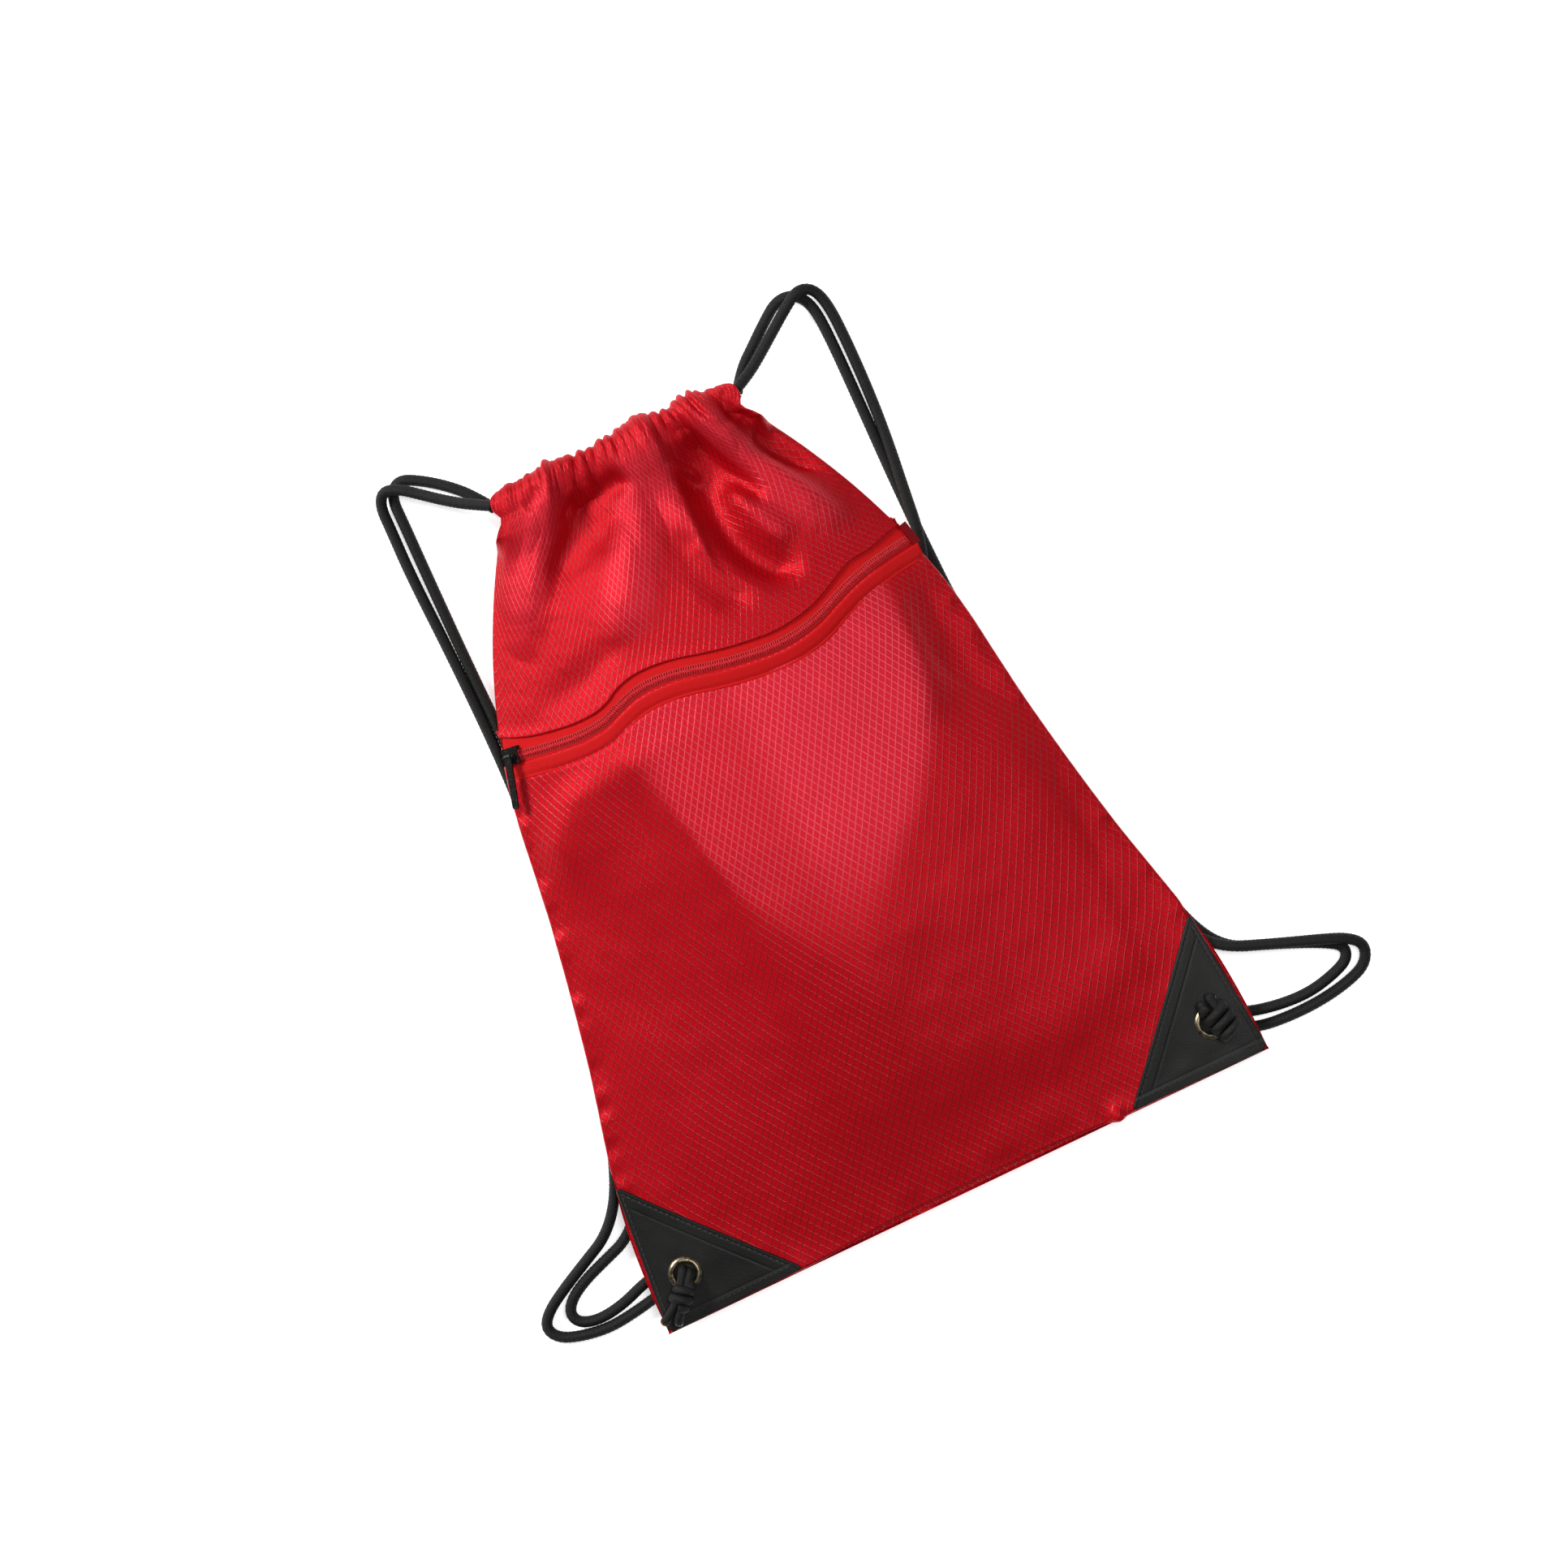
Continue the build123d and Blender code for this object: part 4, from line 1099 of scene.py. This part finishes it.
def make_grommet(side, metal):
    """The eyelet's flange and barrel, and its washer on the back."""
    word = "left" if side < 0 else "right"
    centre = (side * GROMMET[0], GROMMET[1])
    flange = [
        (8.6, 15.9), (9.3, 16.2), (9.25, 16.7), (8.7, 17.35), (7.8, 17.9), (6.9, 18.05), (6.1, 17.75),
        (5.65, 17.1), (5.6, 16.2), (5.6, 10.0),
    ]
    ride_bag(lathe("brass_ring_" + word, flange[::-1], centre, metal), "brass", "grommet_" + word)
    washer = [
        (6.2, 10.9), (8.6, 10.9), (9.2, 10.5), (9.2, 10.1), (8.3, 9.6), (7.0, 9.4), (6.0, 9.7), (5.7, 10.6),
    ]
    ride_bag(lathe("brass_washer_" + word, washer[::-1], centre, metal), "brass", "grommet_washer_" + word)


def make_knot(side, material, tip_orange, tip_grey):
    """Both strands come up through the grommet, wrapped by their own turn, and end in melted tips."""
    word = "left" if side < 0 else "right"
    gx, gy = side * GROMMET[0], GROMMET[1]
    # Tails: how far to the side, how much higher, how far past the knot, and the tip's material.
    if side < 0:
        start, end = np.array((gx - 1.0, gy - 5.0)), np.array((gx - 13.0, gy - 16.0))
        girth, turns, share, level, strand = 4.3, 2.15, 0.66, 22.0, 2.55
        tails = ((-1.7, 0.0, 8.0, tip_orange), (1.9, 0.8, 5.0, tip_grey))
    else:
        start, end = np.array((gx + 7.5, gy - 11.0)), np.array((gx + 1.5, gy + 12.5))
        girth, turns, share, level, strand = 5.9, 3.1, 0.74, 23.6, 2.75
        tails = ((-1.9, 0.0, -1.5, tip_grey), (2.0, 0.4, -2.5, tip_grey))
    axis = np.array([*(end - start), 0.0])
    reach = np.linalg.norm(axis)
    axis = axis / reach
    square = np.array([-axis[1], axis[0], 0.0])
    middle = np.array([*((start + end) / 2), level])

    def on_knot(ahead, aside, lift):
        return middle + axis * ahead + square * aside + (0, 0, lift)

    wrap = []
    for t in np.linspace(0, 1, 70):
        a = 2 * pi * turns * t + 0.6
        r = girth * (1 - 0.16 * (2 * t - 1) ** 2)
        wrap.append(on_knot((t - 0.5) * reach * share, cos(a) * r, sin(a) * r * 0.62))
    below = np.array([gx, gy, 12.0])
    lead = np.array([gx, gy, 17.0]) + square * 1.2
    path = spline([below, lead, wrap[0] - axis * 1.5 + (0, 0, -1.0)], 20)
    path = np.concatenate([path[:-1], wrap])
    ride_bag(braided_tube("knot_turns_" + word, path, material, strand), "cord", "knot_" + word)
    for number, (offset, lift, extra, tip) in enumerate(tails):
        near = np.array([gx, gy, 10.5]) + square * offset
        rise = np.array([gx, gy, 19.0]) + square * offset * 1.1 - axis * 1.0
        inside = on_knot(0, offset, lift - 0.5)
        out = on_knot(reach * 0.5 + extra * 0.45, offset * 1.5, lift - 2.0)
        far = on_knot(reach * 0.5 + extra, offset * 2.0, lift - 3.4)
        line = spline([near, rise, inside, out, far], 60)
        ride_bag(braided_tube("knot_tail_%s_%d" % (word, number), line, material, 2.5), "cord")
        along = unit(far - out)
        cap = np.array([far - along * 0.4, far + along * 0.9, far + along * 1.7])
        name = "melted_tip_%s_%d" % (word, number)
        ride_bag(round_tube(name, cap, [2.45, 2.2, 0.6], tip, 0.25, 20), "cord")


def make_puller(material):
    """The puller's own shape, narrowed below its eye to the slim bar of such zips."""
    node = next(o for o in bpy.data.objects if o.type == "MESH" and o.name.split(".")[0] == "zip_puller")
    points = np.array([node.matrix_world @ v.co for v in node.data.vertices]) / MM
    middle = points.mean(axis=0)
    _, _, axes = np.linalg.svd(points - middle, full_matrices=False)
    along, across = axes[0], axes[1]
    if along[1] > 0:
        along = -along
    place = (points - middle) @ along
    place = place - place.min()
    narrow = 1 - 0.40 * smoothstep((place - 2.5) / 3.0) + 0.10 * smoothstep((place - 21) / 4.0)
    side = ((points - middle) @ across)[:, None]
    points = points + across * side * (narrow[:, None] - 1)
    faces = [tuple(p.vertices) for p in node.data.polygons]
    bar = make_mesh("puller_bar", points, faces, None, material, smooth=False)
    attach(bar, "zip_pull")
    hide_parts("zip_puller")


# ---- Cords ----


def spline_points(route, name):
    """Read a route's smooth NURBS line back as points, in metres."""
    curve = bpy.data.curves.new(name, "CURVE")
    curve.dimensions = "3D"
    curve.resolution_u = 16
    line = curve.splines.new("NURBS")
    line.points.add(len(route) - 1)
    for point, place in zip(line.points, route):
        point.co = (*place, 1)
    line.order_u = 3
    line.use_endpoint_u = True
    obj = bpy.data.objects.new(name, curve)
    bpy.context.collection.objects.link(obj)
    points = np.array([v.co[:] for v in evaluated_mesh(obj).vertices])
    bpy.data.objects.remove(obj)
    return points


def frames_along(path):
    """Two directions square to a path and to each other, carried along it without twist."""
    tangent = unit(np.gradient(path, axis=0))
    side = np.zeros_like(path)
    side[0] = unit(np.cross(tangent[0], (0, 0, 1) if abs(tangent[0, 2]) < 0.9 else (1, 0, 0)))
    for k in range(1, len(path)):
        side[k] = unit(side[k - 1] - tangent[k] * np.dot(side[k - 1], tangent[k]))
    return side, np.cross(tangent, side)


def make_cords(material):
    """The free strands, each a braided tube along its route."""
    for name, route in CORDS.items():
        path = spline_points(route, name + "_line")
        cord = ride_bag(braided_tube(name + "_braid", path / MM, material), "cord", name)


# ---- Assembly ----


make_stage()
cloth = ripstop()
back = ride_bag(back_cloth(cloth), "red_fabric", "back_panel", "casing_back")
lower = ride_bag(front_lower(cloth), "red_fabric", "front_lower_panel")
upper = ride_bag(front_upper(cloth), "red_fabric", "front_upper_panel", "casing_front")
make_zip()

black_leather = leather()
black_thread = thread_material("black_thread", (0.014, 0.014, 0.014))
metal = brass()
tip_orange = plain_material("melted_tip_orange", (0.36, 0.11, 0.03), 0.35)
tip_grey = plain_material("melted_tip_grey", (0.30, 0.29, 0.28), 0.35)
cord_material = braid()
for side in (-1, 1):
    for front in (True, False):
        make_patch(side, front, black_leather, black_thread)
    make_grommet(side, metal)
    make_knot(side, cord_material, tip_orange, tip_grey)
make_cords(cord_material)

enamel = black_metal()
make_puller(enamel)
# Frame nodes that keep their own shape, and their materials.
carried = {
    "pocket_lining": plain_material("pocket_lining_cloth", (0.30, 0.006, 0.012), 0.8),
    "zip_end_tab": cloth,
    "side_label": plain_material("label_weave", (0.012, 0.012, 0.013), 0.7),
    "cord_left_casing": cord_material,
    "cord_right_casing": cord_material,
    "zip_slider": enamel,
}
for name, material in carried.items():
    for obj in bpy.data.objects:
        if obj.type == "MESH" and obj.name.split(".")[0] == name:
            obj.data.materials.clear()
            obj.data.materials.append(material)
